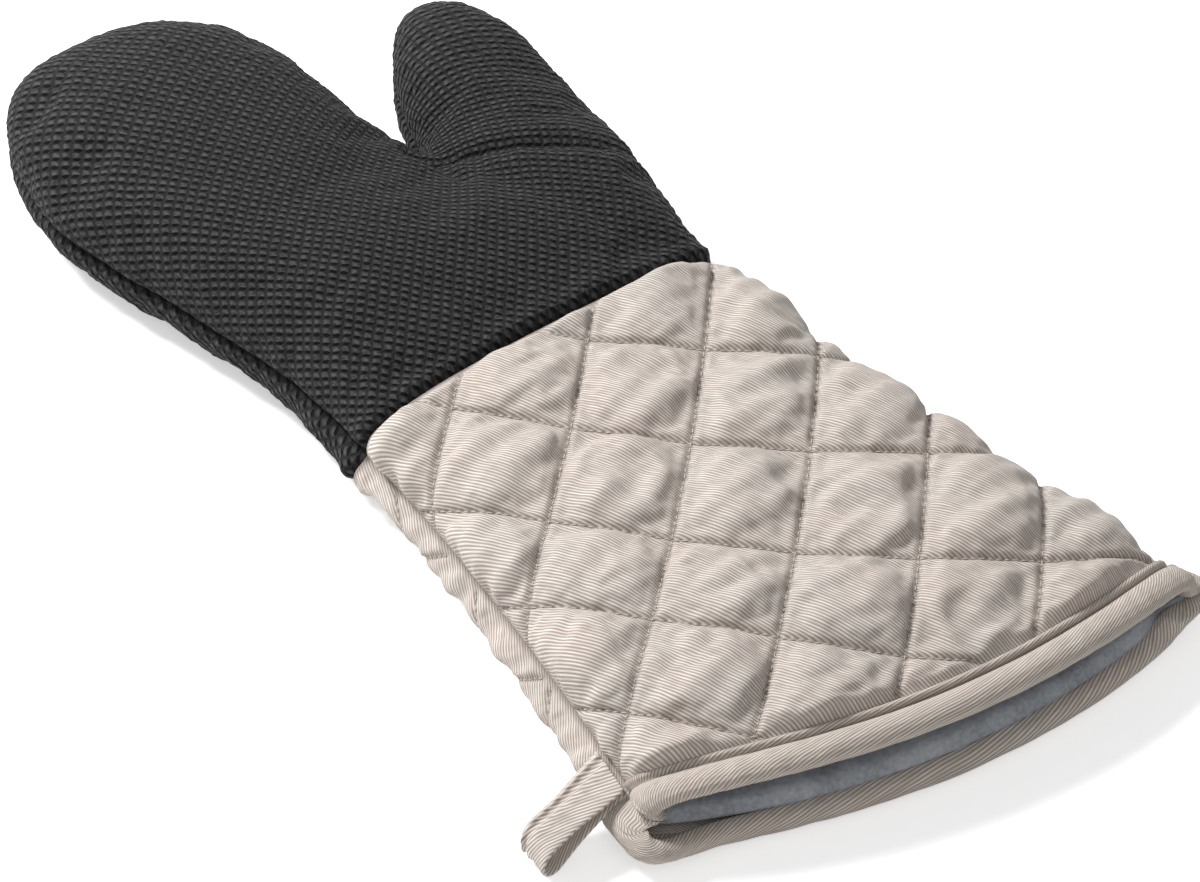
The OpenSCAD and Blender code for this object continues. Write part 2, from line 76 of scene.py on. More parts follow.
@dataclass(frozen=True)
class MittPattern:
    """Pattern sizes of the mitt in millimetres, with the laws that its surfaces follow.

    x runs across, y along from the join toward the fingertips, d from the join toward the mouth.
    """

    offset: tuple[float, float] = (11.0442, -3.1307)
    seam_height: float = 18.0
    seam_pinch: float = 1.6
    hand_length: float = 207.0
    finger_width: float = 109.0
    finger_shift: float = -33.0
    finger_round: float = 80.0
    fork_length: float = 104.0
    palm_start: float = 25.0
    palm_length: float = 150.0
    hand_rise: float = 25.0
    thumb_length: float = 160.0
    thumb_root: float = 76.0
    thumb_tip: float = 38.0
    thumb_round: float = 44.0
    thumb_shift: float = 31.0
    thumb_lean: float = 14.0
    thumb_rise: float = 21.0
    cuff_length: float = 198.0
    join_width: float = 139.0
    join_rise: float = 16.0
    mouth_width: float = 190.0
    mouth_rise: float = 10.5
    mouth_seam: float = 14.5
    quilt_rise: float = 15.5
    palm_spread: float = 15.0
    mouth_bow: float = 18.0
    mouth_slant: float = 8.5
    join_lift: float = 1.5
    diamond_across: float = 54.0
    diamond_along: float = 53.0
    diamond_rise: float = 4.5
    binding_width: float = 8.0
    binding_proud: float = 3.5
    full: float = 0.75
    dome_power: float = 2.4
    flat: float = 1.12
    flare: float = 1.5
    # lattice terms in 1, x, d, x * x, x * d and d * d, in units of 100 mm with d counted from 90 mm
    drawn_across: tuple = (0.4796, 1.8238, 0.0911, -0.2326, 0.0418, -0.0719)
    drawn_along: tuple = (0.9077, 0.0819, 1.904, 0.4027, -0.0727, 0.092)
    row_wave: float = 0.015

    def dome(self, share: Numbers) -> Numbers:
        """Width share of a rounded end."""
        return np.maximum(0.0, 1.0 - np.maximum(0.0, share) ** self.dome_power) ** (1.0 / self.dome_power)

    def across(self, mid: Numbers, half: Numbers, angle: Numbers, spread: Numbers = 0.0) -> Numbers:
        """Place across a bulging section at an angle from the left seam, pulled in at the seams.

        Args:
            mid: middle of the section.
            half: half of its width.
            angle: angle round the section, from 0 at the left seam to pi at the right one.
            spread: how much further out the section bulges.

        Returns:
            The place across.
        """
        free = 1.0 - (1.0 - np.sin(angle)) ** 4
        width = half - self.seam_pinch * (1.0 - free) + spread * free
        return mid - np.sign(np.cos(angle)) * np.abs(np.cos(angle)) ** self.full * width

    def level(self, side: Side, reach: Numbers, arch: Numbers, seam: Numbers) -> Numbers:
        """Height of a surface above or below its seam.

        Args:
            side: back or palm.
            reach: full height above or below the seam.
            arch: share of that height at this place.
            seam: height of the seam.

        Returns:
            The height.
        """
        if side is Side.BACK:
            return seam + reach * arch
        return seam - np.minimum(reach, self.flat * reach * arch)

    def finger_point(self, side: Side, angle: Numbers, y: Numbers, depth: float = 0.0) -> Places:
        """Surface point of the finger part, at an angle round its section and a place along it.

        Args:
            side: back or palm.
            angle: angle round the section, from 0 at the left seam to pi at the right one.
            y: place along, from the join toward the fingertips.
            depth: how far the surface lies inside the outer one.

        Returns:
            x, y and height of the point.
        """
        end = (y - self.hand_length + self.finger_round) / (self.finger_round - depth)
        dome = self.dome(end)
        left = mix(self.join_width / 2, self.finger_width / 2 - self.finger_shift,
                   ease((y - self.palm_start) / (self.palm_length - self.palm_start)))
        right = mix(self.join_width / 2, self.finger_width / 2 + self.finger_shift,
                    ease(y / self.fork_length))
        half = ((right + left) / 2 - depth) * dome
        spread = self.spread(side, 0.0) * (1.0 - ease(y / 60.0))
        lift = self.join_lift * (1.0 - ease(y / 30.0))
        reach = (mix(self.join_rise, self.hand_rise, ease(y / 55.0)) if side is Side.BACK
                 else self.seam_height - lift) - depth
        x = self.across((right - left) / 2, half, angle, spread)
        return x, y, self.level(side, reach, dome * np.sin(angle) ** self.full, self.seam_height)

    def thumb_point(self, side: Side, angle: Numbers, s: Numbers, depth: float = 0.0) -> Places:
        """Surface point of the thumb part, leaning out from its root.

        Args:
            side: back or palm.
            angle: angle round the section, from 0 at the left seam to pi at the right one.
            s: place along the thumb, from its root.
            depth: how far the surface lies inside the outer one.

        Returns:
            x, y and height of the point.
        """
        dome = self.dome((s - (self.thumb_length - self.thumb_round)) / (self.thumb_round - depth))
        width = mix(self.thumb_root, self.thumb_tip, (np.maximum(s, 0.0) / self.thumb_length) ** 1.5)
        half = (width / 2 - depth) * dome
        lift = self.join_lift * (1.0 - ease(s / 30.0))
        reach = (mix(self.join_rise - 3.0, self.thumb_rise, ease(s / 60.0)) if side is Side.BACK
                 else self.seam_height - lift) - depth
        u = self.across(0.0, half, angle)
        lean = math.radians(self.thumb_lean)
        x = self.thumb_shift + u * math.cos(lean) + s * math.sin(lean)
        y = s * math.cos(lean) - u * math.sin(lean)
        return x, y, self.level(side, reach, dome * np.sin(angle) ** self.full, self.seam_height)

    def cuff_half(self, d: Numbers) -> Numbers:
        """Half width of the cuff, flaring toward its mouth."""
        share = np.clip(d, 0.0, None) / (self.cuff_length - self.mouth_bow)
        return mix(self.join_width, self.mouth_width, share ** self.flare) / 2

    def seam_at(self, d: Numbers) -> Numbers:
        """Height of the side seams along the cuff."""
        return mix(self.seam_height, self.mouth_seam, d / self.cuff_length)

    def spread(self, side: Side, d: Numbers) -> Numbers:
        """How much further out the palm side bulges."""
        return 0.0 if side is Side.BACK else self.palm_spread * mix(0.6, 1.0, d / self.cuff_length)

    def panel_edge(self, x: Numbers) -> Numbers:
        """Cut edge of the cuff panels under the binding."""
        bow = self.mouth_bow * (2.0 * x / self.mouth_width) ** 2
        return self.cuff_length - bow + math.tan(math.radians(self.mouth_slant)) * x - self.binding_proud

    def from_binding(self, x: Numbers, d: Numbers, pitch: float) -> Numbers:
        """Distance to the level part under the binding, left by a row of facets."""
        return self.panel_edge(x) - d - self.binding_width - pitch

    def quilted(self, x: Numbers, d: Numbers, from_seam: Numbers) -> Numbers:
        """Share of the full quilted height at a place of the cuff."""
        return (ease((d - 0.3) / 4.0) * ease(self.from_binding(x, d, 3.8) / 3.5)
                * ease((from_seam - 0.3) / 3.6))

    def lattice(self, x: Numbers, d: Numbers) -> tuple[Numbers, Numbers]:
        """Lattice coordinates: the stitch lines are where u + v or u - v is whole.

        The small square terms are how far the sewn seams draw the quilting out of square.

        Args:
            x: place across.
            d: distance from the join toward the mouth.

        Returns:
            The two lattice coordinates.
        """
        a, b = x / 100.0, (d - 90.0) / 100.0
        first, across, along, bow, twist, stretch = self.drawn_across
        u = first + across * a + along * b + bow * a * a + twist * a * b + stretch * b * b
        first, across, along, bow, twist, stretch = self.drawn_along
        v = first + across * a + along * b + bow * a * a + twist * a * b + stretch * b * b
        uneven = self.row_wave * np.cos(math.pi * (v - u))
        return u - uneven, v + uneven

    def off_lattice(self, u: float, v: float) -> tuple[float, float]:
        """Pattern x and d of lattice coordinates.

        Args:
            u: first lattice coordinate.
            v: second lattice coordinate.

        Returns:
            x and d of the place.
        """
        x, d = (u - 0.48) * self.diamond_across, 90.0 + (v - 0.9) * self.diamond_along
        for _ in range(8):
            now_u, now_v = self.lattice(x, d)
            x += (u - now_u) * self.diamond_across
            d += (v - now_v) * self.diamond_along
        return x, d

    def diamond(self, x: Numbers, d: Numbers) -> Numbers:
        """Height share of the pillows between the stitch lines.

        Args:
            x: place across.
            d: distance from the join toward the mouth.

        Returns:
            The share, 0 on a stitch line.
        """
        u, v = self.lattice(x, d)
        wave = np.abs(np.sin(np.pi * (u + v)) * np.sin(np.pi * (u - v)))
        return wave ** 0.62

    def stitch_distance(self, x: Numbers, d: Numbers) -> Numbers:
        """Distance in millimetres to the nearest quilting line.

        Args:
            x: place across.
            d: distance from the join toward the mouth.

        Returns:
            The distance.
        """
        u, v = self.lattice(x, d)
        slope = math.hypot(1.0 / self.diamond_across, 1.0 / self.diamond_along)
        first, second = u + v, u - v
        return np.minimum(np.abs(first - np.round(first)), np.abs(second - np.round(second))) / slope

    def needle_holes(self, x: Numbers, d: Numbers, pitch: float, width: float) -> Numbers:
        """How near a place is to a needle hole of either family of quilting lines, from 0 to 1.

        Args:
            x: place across.
            d: distance from the join toward the mouth.
            pitch: spacing of the holes along a line.
            width: how wide a hole's mark is.

        Returns:
            The nearness, 1 at a hole.
        """
        u, v = self.lattice(x, d)
        long = math.hypot(self.diamond_across, self.diamond_along)
        slope = long / (self.diamond_across * self.diamond_along)
        near = 0.0
        for sign in (1, -1):
            line = u + sign * v
            number = sign * np.round(line)
            along = (u * self.diamond_across ** 2 - sign * (v - number) * self.diamond_along ** 2) / long
            hole = 0.5 + 0.5 * np.cos(2 * np.pi * along / pitch)
            near = np.maximum(near, hole * np.exp(-((line - np.round(line)) / slope / width) ** 2))
        return near

    def cuff_reach(self, side: Side, x: Numbers, d: Numbers) -> Numbers:
        """How far the cuff surface stands from its seam, without the pillows.

        Args:
            side: back or palm.
            x: place across.
            d: distance from the join toward the mouth.

        Returns:
            The height above or below the seam.
        """
        start = ease(d / 15.0)
        if side is Side.BACK:
            body = mix(self.join_rise, self.quilt_rise, start)
            return mix(self.mouth_rise, body, ease(self.from_binding(x, d, 3.0) / 40.0))
        body = mix(self.join_lift, self.diamond_rise, start)
        return self.seam_at(d) - mix(self.binding_proud, body, ease(self.from_binding(x, d, 8.83) / 12.0))

    def cuff_across(self, side: Side, angle: Numbers, d: Numbers, depth: float = 0.0) -> Numbers:
        """Place across a cuff panel at an angle from its left seam."""
        return self.across(0.0, self.cuff_half(d) - depth, angle, self.spread(side, d))

    def cuff_point(self, side: Side, angle: Numbers, d: Numbers, depth: float = 0.0) -> Places:
        """Surface point of a cuff panel before it is quilted.

        Args:
            side: back or palm.
            angle: angle round the section, from 0 at the left seam to pi at the right one.
            d: distance from the join toward the mouth.
            depth: how far the surface lies inside the outer one.

        Returns:
            x, y and height of the point.
        """
        x = self.cuff_across(side, angle, d, depth)
        z = self.level(side, self.cuff_reach(side, x, d) - depth, np.sin(angle) ** self.full, self.seam_at(d))
        return x, -d, z

    def even_angles(self, side: Side, shares: np.ndarray) -> np.ndarray:
        """Section angles whose cloth lengths between them are equal, for shares from 0 to 1."""
        angle, run = self.section_run(side, 100.0)
        return np.interp(shares * run[-1], run, angle)

    def section_run(self, side: Side, d: float) -> tuple[np.ndarray, np.ndarray]:
        """Section angles and the cloth length from the left seam to each.

        Args:
            side: back or palm.
            d: distance from the join toward the mouth.

        Returns:
            The angles and the lengths.
        """
        angle = np.linspace(0.0, math.pi, 4001)
        x, _, z = self.cuff_point(side, angle, d)
        return angle, np.concatenate([[0.0], np.cumsum(np.hypot(np.diff(x), np.diff(z)))])

    @cache
    def width_stations(self, side: Side) -> tuple[np.ndarray, np.ndarray]:
        """Stations along a cuff panel and its cloth width at each."""
        stations = np.linspace(0.0, 200.0, 9)
        return stations, np.array([self.section_run(side, at)[1][-1] for at in stations])

    def cloth_width(self, side: Side, d: Numbers) -> Numbers:
        """Cloth width of a cuff panel from seam to seam."""
        return np.interp(d, *self.width_stations(side))

    def ring_point(self, side: Side, angle: Numbers, out: Numbers, inward: Numbers) -> Places:
        """Point of the mouth ring: out from the panels' outside, inward from their cut edge.

        Args:
            side: back or palm.
            angle: angle round the section, from 0 at the left seam to pi at the right one.
            out: distance out from the panels' outside.
            inward: distance inward from their cut edge.

        Returns:
            x, y and height of the point.
        """
        def place(d: Numbers) -> Numbers:
            """Place across the ring at d."""
            return self.across(0.0, self.cuff_half(d) + out, angle, self.spread(side, d))
        edge = self.panel_edge(place(self.panel_edge(place(self.cuff_length))))
        d = edge - inward
        rise = self.mouth_rise if side is Side.BACK else self.seam_at(d) - self.binding_proud
        z = self.level(side, rise + out, np.sin(angle) ** self.full, self.seam_at(d))
        return place(d), -d, z

    def metres(self, x: Numbers, y: Numbers, z: Numbers) -> np.ndarray:
        """Pattern millimetres as points of the part's frame in metres."""
        x, y, z = np.broadcast_arrays(x, y, z)
        return np.stack([x + self.offset[0], y + self.offset[1], z], axis=-1) * MM

    def pattern_xy(self, points: np.ndarray) -> tuple[np.ndarray, np.ndarray]:
        """Pattern x and y in millimetres of points in metres."""
        return points[:, 0] / MM - self.offset[0], points[:, 1] / MM - self.offset[1]


# ---------------------------------------------------------------- mesh helpers

def get_points(mesh: bpy.types.Mesh) -> np.ndarray:
    """Vertex places of a mesh as rows.

    Args:
        mesh: the mesh to read.

    Returns:
        One row of x, y and z a vertex, in metres.
    """
    flat = np.empty(len(mesh.vertices) * 3)
    mesh.vertices.foreach_get("co", flat)
    return flat.reshape(-1, 3)


def set_points(mesh: bpy.types.Mesh, points: np.ndarray) -> None:
    """Moves the vertices of a mesh to new places."""
    mesh.vertices.foreach_set("co", np.ascontiguousarray(points, dtype=np.float32).ravel())
    mesh.update()


def get_normals(mesh: bpy.types.Mesh) -> np.ndarray:
    """Vertex normals of a mesh as rows.

    Args:
        mesh: the mesh to read.

    Returns:
        One row of x, y and z a vertex.
    """
    flat = np.empty(len(mesh.vertices) * 3)
    mesh.vertices.foreach_get("normal", flat)
    return flat.reshape(-1, 3)


def make_object(name: str, bm: bmesh.types.BMesh) -> bpy.types.Object:
    """Links a new smooth-shaded object made from a bmesh.

    Args:
        name: name of the new one.
        bm: its shape, which is freed.

    Returns:
        The new object.
    """
    mesh = bpy.data.meshes.new(name)
    bm.to_mesh(mesh)
    bm.free()
    obj = bpy.data.objects.new(name, mesh)
    bpy.context.scene.collection.objects.link(obj)
    mesh.shade_smooth()
    return obj


def share_grid(bm: bmesh.types.BMesh, columns: int, rows: int) -> np.ndarray:
    """Fills a bmesh with a grid.

    Args:
        bm: the empty bmesh.
        columns: faces along the first direction.
        rows: faces along the second direction.

    Returns:
        A row of the shares u and v, from 0 to 1, for each vertex.
    """
    bmesh.ops.create_grid(bm, x_segments=columns, y_segments=rows, size=0.5)
    shares = np.array([v.co[:2] for v in bm.verts])
    return (shares - shares.min(axis=0)) / np.ptp(shares, axis=0)


def join_into(bm: bmesh.types.BMesh, other: bmesh.types.BMesh) -> None:
    """Adds one bmesh's shape to another.

    Args:
        bm: the one that is kept.
        other: the one that is added and freed.
    """
    passing = bpy.data.meshes.new("passing")
    other.to_mesh(passing)
    other.free()
    bm.from_mesh(passing)
    bpy.data.meshes.remove(passing)


def mapped_grid(name: str, columns: int, rows: int,
                shape: Callable[[np.ndarray, np.ndarray], np.ndarray],
                cloth: Callable[[np.ndarray, np.ndarray], np.ndarray] | None = None,
                flip: bool = False, closed: bool = False) -> bpy.types.Object:
    """A grid laid over a surface.

    Args:
        name: object name.
        columns: faces along the first direction.
        rows: faces along the second direction.
        shape: gives points in metres for shares u and v from 0 to 1.
        cloth: gives the flat cloth place in metres for the same shares.
        flip: turns the faces over.
        closed: joins the first and last column.

    Returns:
        The new object.
    """
    bm = bmesh.new()
    shares = share_grid(bm, columns, rows)
    if cloth is not None:
        layer = bm.loops.layers.uv.new(CLOTH_UV)
        flat = cloth(shares[:, 0], shares[:, 1])
        for face in bm.faces:
            for loop in face.loops:
                loop[layer].uv = flat[loop.vert.index]
    for vert, point in zip(bm.verts, shape(shares[:, 0], shares[:, 1])):
        vert.co = point
    if closed:
        bmesh.ops.remove_doubles(bm, verts=bm.verts, dist=1e-6)
    if flip:
        bmesh.ops.reverse_faces(bm, faces=bm.faces)
    return make_object(name, bm)


def apply_modifiers(obj: bpy.types.Object) -> None:
    """Bakes every modifier of an object into its mesh.

    Args:
        obj: the piece.
    """
    graph = bpy.context.evaluated_depsgraph_get()
    made = bpy.data.meshes.new_from_object(obj.evaluated_get(graph), depsgraph=graph)
    obj.modifiers.clear()
    old, obj.data = obj.data, made
    made.name = obj.name
    bpy.data.meshes.remove(old)
    made.shade_smooth()


def subdivide(obj: bpy.types.Object, levels: int = 1) -> None:
    """Rounds and refines a mesh for good.

    Args:
        obj: the piece.
        levels: levels of subdivision.
    """
    refine = obj.modifiers.new("refine", "SUBSURF")
    refine.levels = refine.render_levels = levels
    apply_modifiers(obj)


def set_painted_shade(mesh: bpy.types.Mesh, values: np.ndarray) -> None:
    """Stores how dark the painted shade of folds, seams, grooves and stitch pits makes each point, from 0 to
    1.
    """
    layer = mesh.attributes.get(PAINTED_SHADE) or mesh.attributes.new(PAINTED_SHADE, "FLOAT", "POINT")
    layer.data.foreach_set("value", np.clip(values, 0.0, 1.0).astype(np.float32))


def puff(obj: bpy.types.Object, held: np.ndarray, pressure: float, cap: float,
         shrink: float = 0.0, frames: int = 20) -> None:
    """Swells padded fabric by a cloth simulation and keeps the result in its mesh.

    Args:
        obj: the piece, slightly flatter than it ends up.
        held: one weight a vertex, 1 where seams and stitches hold the fabric.
        pressure: filling pressure.
        cap: furthest that a point may move, in metres.
        shrink: how much smaller the cloth wants to be; below 0 it has extra fabric.
        frames: steps of the simulation.
    """
    scene = bpy.context.scene
    group = obj.vertex_groups.new(name="held")
    for weight in (0.25, 0.5, 0.75, 1.0):
        chosen = np.nonzero((held > weight - 0.125) & (held <= weight + 0.125))[0]
        group.add(chosen.tolist(), weight, "REPLACE")
    cloth = obj.modifiers.new("cloth", "CLOTH")
    rules = cloth.settings
    rules.quality = 6
    rules.mass = 0.15
    rules.tension_stiffness = rules.compression_stiffness = 12.0
    rules.shear_stiffness = 5.0
    rules.bending_stiffness = 1.5
    rules.air_damping = 3.0
    rules.vertex_group_mass = group.name
    rules.shrink_min = shrink
    rules.use_pressure = True
    rules.uniform_pressure_force = pressure
    rules.effector_weights.gravity = 0.0
    cloth.collision_settings.use_self_collision = False
    cloth.point_cache.frame_start, cloth.point_cache.frame_end = 1, frames
    start = get_points(obj.data)
    for step in range(1, frames + 1):
        scene.frame_set(step)
    graph = bpy.context.evaluated_depsgraph_get()
    swollen = get_points(obj.evaluated_get(graph).data)
    obj.modifiers.clear()
    obj.vertex_groups.clear()
    scene.frame_set(1)
    move = swollen - start
    length = np.linalg.norm(move, axis=1, keepdims=True)
    move *= cap * np.tanh(length / cap) / np.maximum(length, 1e-9)
    set_points(obj.data, start + move)
    LOG.info("%s swelled by %.1f mm at most", obj.name, np.linalg.norm(move, axis=1).max() / MM)


def smooth_noise(x: np.ndarray, y: np.ndarray, seed: float) -> np.ndarray:
    """Seeded noise between about -1 and 1 at each place."""
    return np.array([noise.noise((a, b, seed)) for a, b in zip(x, y)]) * 1.6


def line_distance(x: np.ndarray, y: np.ndarray,
                  path: list[tuple[float, float]]) -> tuple[np.ndarray, np.ndarray]:
    """Distance to a broken line, and the share along it.

    Args:
        x: places across, in millimetres.
        y: places along, in millimetres.
        path: corners of the line.

    Returns:
        The distance and the share of the line's length, for each place.
    """
    corners = np.array(path, float)
    lengths = np.linalg.norm(np.diff(corners, axis=0), axis=1)
    total, done = lengths.sum(), 0.0
    best = np.full(len(x), 1e9)
    share = np.zeros(len(x))
    for a, b, length in zip(corners[:-1], corners[1:], lengths):
        t = np.clip(((x - a[0]) * (b[0] - a[0]) + (y - a[1]) * (b[1] - a[1])) / length ** 2, 0.0, 1.0)
        gap = np.hypot(x - a[0] - t * (b[0] - a[0]), y - a[1] - t * (b[1] - a[1]))
        nearer = gap < best
        best[nearer] = gap[nearer]
        share[nearer] = (done + t[nearer] * length) / total
        done += length
    return best, share


# ---------------------------------------------------------------- finishes

def linear(hex_colour: str) -> tuple[float, float, float, float]:
    """Turns an sRGB hex colour to the linear values that the shader wants."""
    parts = [int(hex_colour[i:i + 2], 16) / 255 for i in (1, 3, 5)]
    return (*[c / 12.92 if c <= 0.04045 else ((c + 0.055) / 1.055) ** 2.4 for c in parts], 1.0)


def add_node(tree: bpy.types.NodeTree, kind: str, inputs: dict | None = None, **settings) -> bpy.types.Node:
    """Adds one node with its settings, values and links.

    Args:
        tree: the material's node tree.
        kind: node type.
        inputs: socket name or number, with a value or the socket that feeds it.
        settings: properties of the node.

    Returns:
        The new node.
    """
    made = tree.nodes.new(kind)
    for key, value in settings.items():
        setattr(made, key, value)
    for key, value in (inputs or {}).items():
        if isinstance(value, bpy.types.NodeSocket):
            tree.links.new(value, made.inputs[key])
        else:
            made.inputs[key].default_value = value
    return made


def blank_material(name: str) -> bpy.types.Material:
    """A new material with an empty node tree.

    Args:
        name: name of the new one.

    Returns:
        The new material.
    """
    made = bpy.data.materials.new(name)
    made.use_nodes = True
    made.node_tree.nodes.clear()
    return made


@dataclass(frozen=True)
class TwillCotton:
    """Heavy cotton twill, woven: diagonal ribs with a soft matt face, darker between the ribs."""

    name: str = "cotton_twill_woven"
    rib: str = "#f0eae7"
    gap: str = "#7b736e"
    warm: str = "#f3e8e2"
    cool: str = "#e9ebe5"
    # colour of the painted shade in stitch grooves, needle holes, seams and at the join
    pit_shade: str = "#5d524b"
    rib_pitch_mm: float = 0.92   # one twill rib; drawn a little coarser than a heavy drill's
    rib_turn_deg: float = -24.0
    yarn_mm: float = 0.8
    slub_mm: float = 7.0
    patch_mm: float = 24.0

    def make(self) -> bpy.types.Material:
        """Builds the material from the piece's own flat cloth map.

        Returns:
            The new material.
        """
        made = blank_material(self.name)
        tree = made.node_tree
        uv = add_node(tree, "ShaderNodeUVMap", uv_map=CLOTH_UV).outputs[0]
        turned = add_node(tree, "ShaderNodeMapping",
                          {0: uv, "Rotation": (0.0, 0.0, math.radians(self.rib_turn_deg))}).outputs[0]
        ribs = add_node(tree, "ShaderNodeTexWave",
                        {"Vector": turned, "Scale": math.pi / 10 / (self.rib_pitch_mm * MM),
                         "Distortion": 0.35, "Detail": 1.0, "Detail Scale": 0.5},
                        wave_type="BANDS", bands_direction="X", wave_profile="SIN").outputs["Fac"]
        yarn_scale = (1 / (self.yarn_mm * MM), 1 / (self.slub_mm * MM), 1.0)
        yarn = add_node(tree, "ShaderNodeMapping", {0: turned, "Scale": yarn_scale}).outputs[0]
        slubs = add_node(tree, "ShaderNodeTexNoise",
                         {"Vector": yarn, "Scale": 1.0, "Detail": 2.0}).outputs["Fac"]
        patches = add_node(tree, "ShaderNodeTexNoise",
                           {"Vector": uv, "Scale": 1 / (self.patch_mm * MM), "Detail": 1.0}).outputs["Fac"]
        weave = add_node(tree, "ShaderNodeMath", {0: ribs, 1: slubs, 2: 0.28},
                         operation="MULTIPLY_ADD").outputs[0]
        depth = add_node(tree, "ShaderNodeMapRange",
                         {"Value": weave, "From Min": 0.1, "From Max": 0.85}).outputs[0]
        cloth = add_node(tree, "ShaderNodeMix", {0: depth, 6: linear(self.gap), 7: linear(self.rib)},
                         data_type="RGBA").outputs[2]
        tint = add_node(tree, "ShaderNodeMix", {0: patches, 6: linear(self.warm), 7: linear(self.cool)},
                        data_type="RGBA").outputs[2]
        tinted = add_node(tree, "ShaderNodeMix", {0: 1.0, 6: cloth, 7: tint}, data_type="RGBA",
                          blend_type="MULTIPLY").outputs[2]
        # painted shade: the shade attribute darkens the cloth toward the painted shade colour in grooves,
        # needle holes, seams and at the join
        shade = add_node(tree, "ShaderNodeAttribute", attribute_name=PAINTED_SHADE).outputs["Fac"]
        colour = add_node(tree, "ShaderNodeMix", {0: shade, 6: tinted, 7: linear(self.pit_shade)},
                          data_type="RGBA").outputs[2]
        bump = add_node(tree, "ShaderNodeBump",
                        {"Height": weave, "Strength": 0.6, "Distance": 0.25 * MM}).outputs[0]
        surface = add_node(tree, "ShaderNodeBsdfPrincipled",
                           {"Base Color": colour, "Normal": bump, "Roughness": 0.86,
                            "Specular IOR Level": 0.25, "Sheen Weight": 0.12,
                            "Sheen Roughness": 0.4}).outputs[0]
        add_node(tree, "ShaderNodeOutputMaterial", {"Surface": surface})
        return made


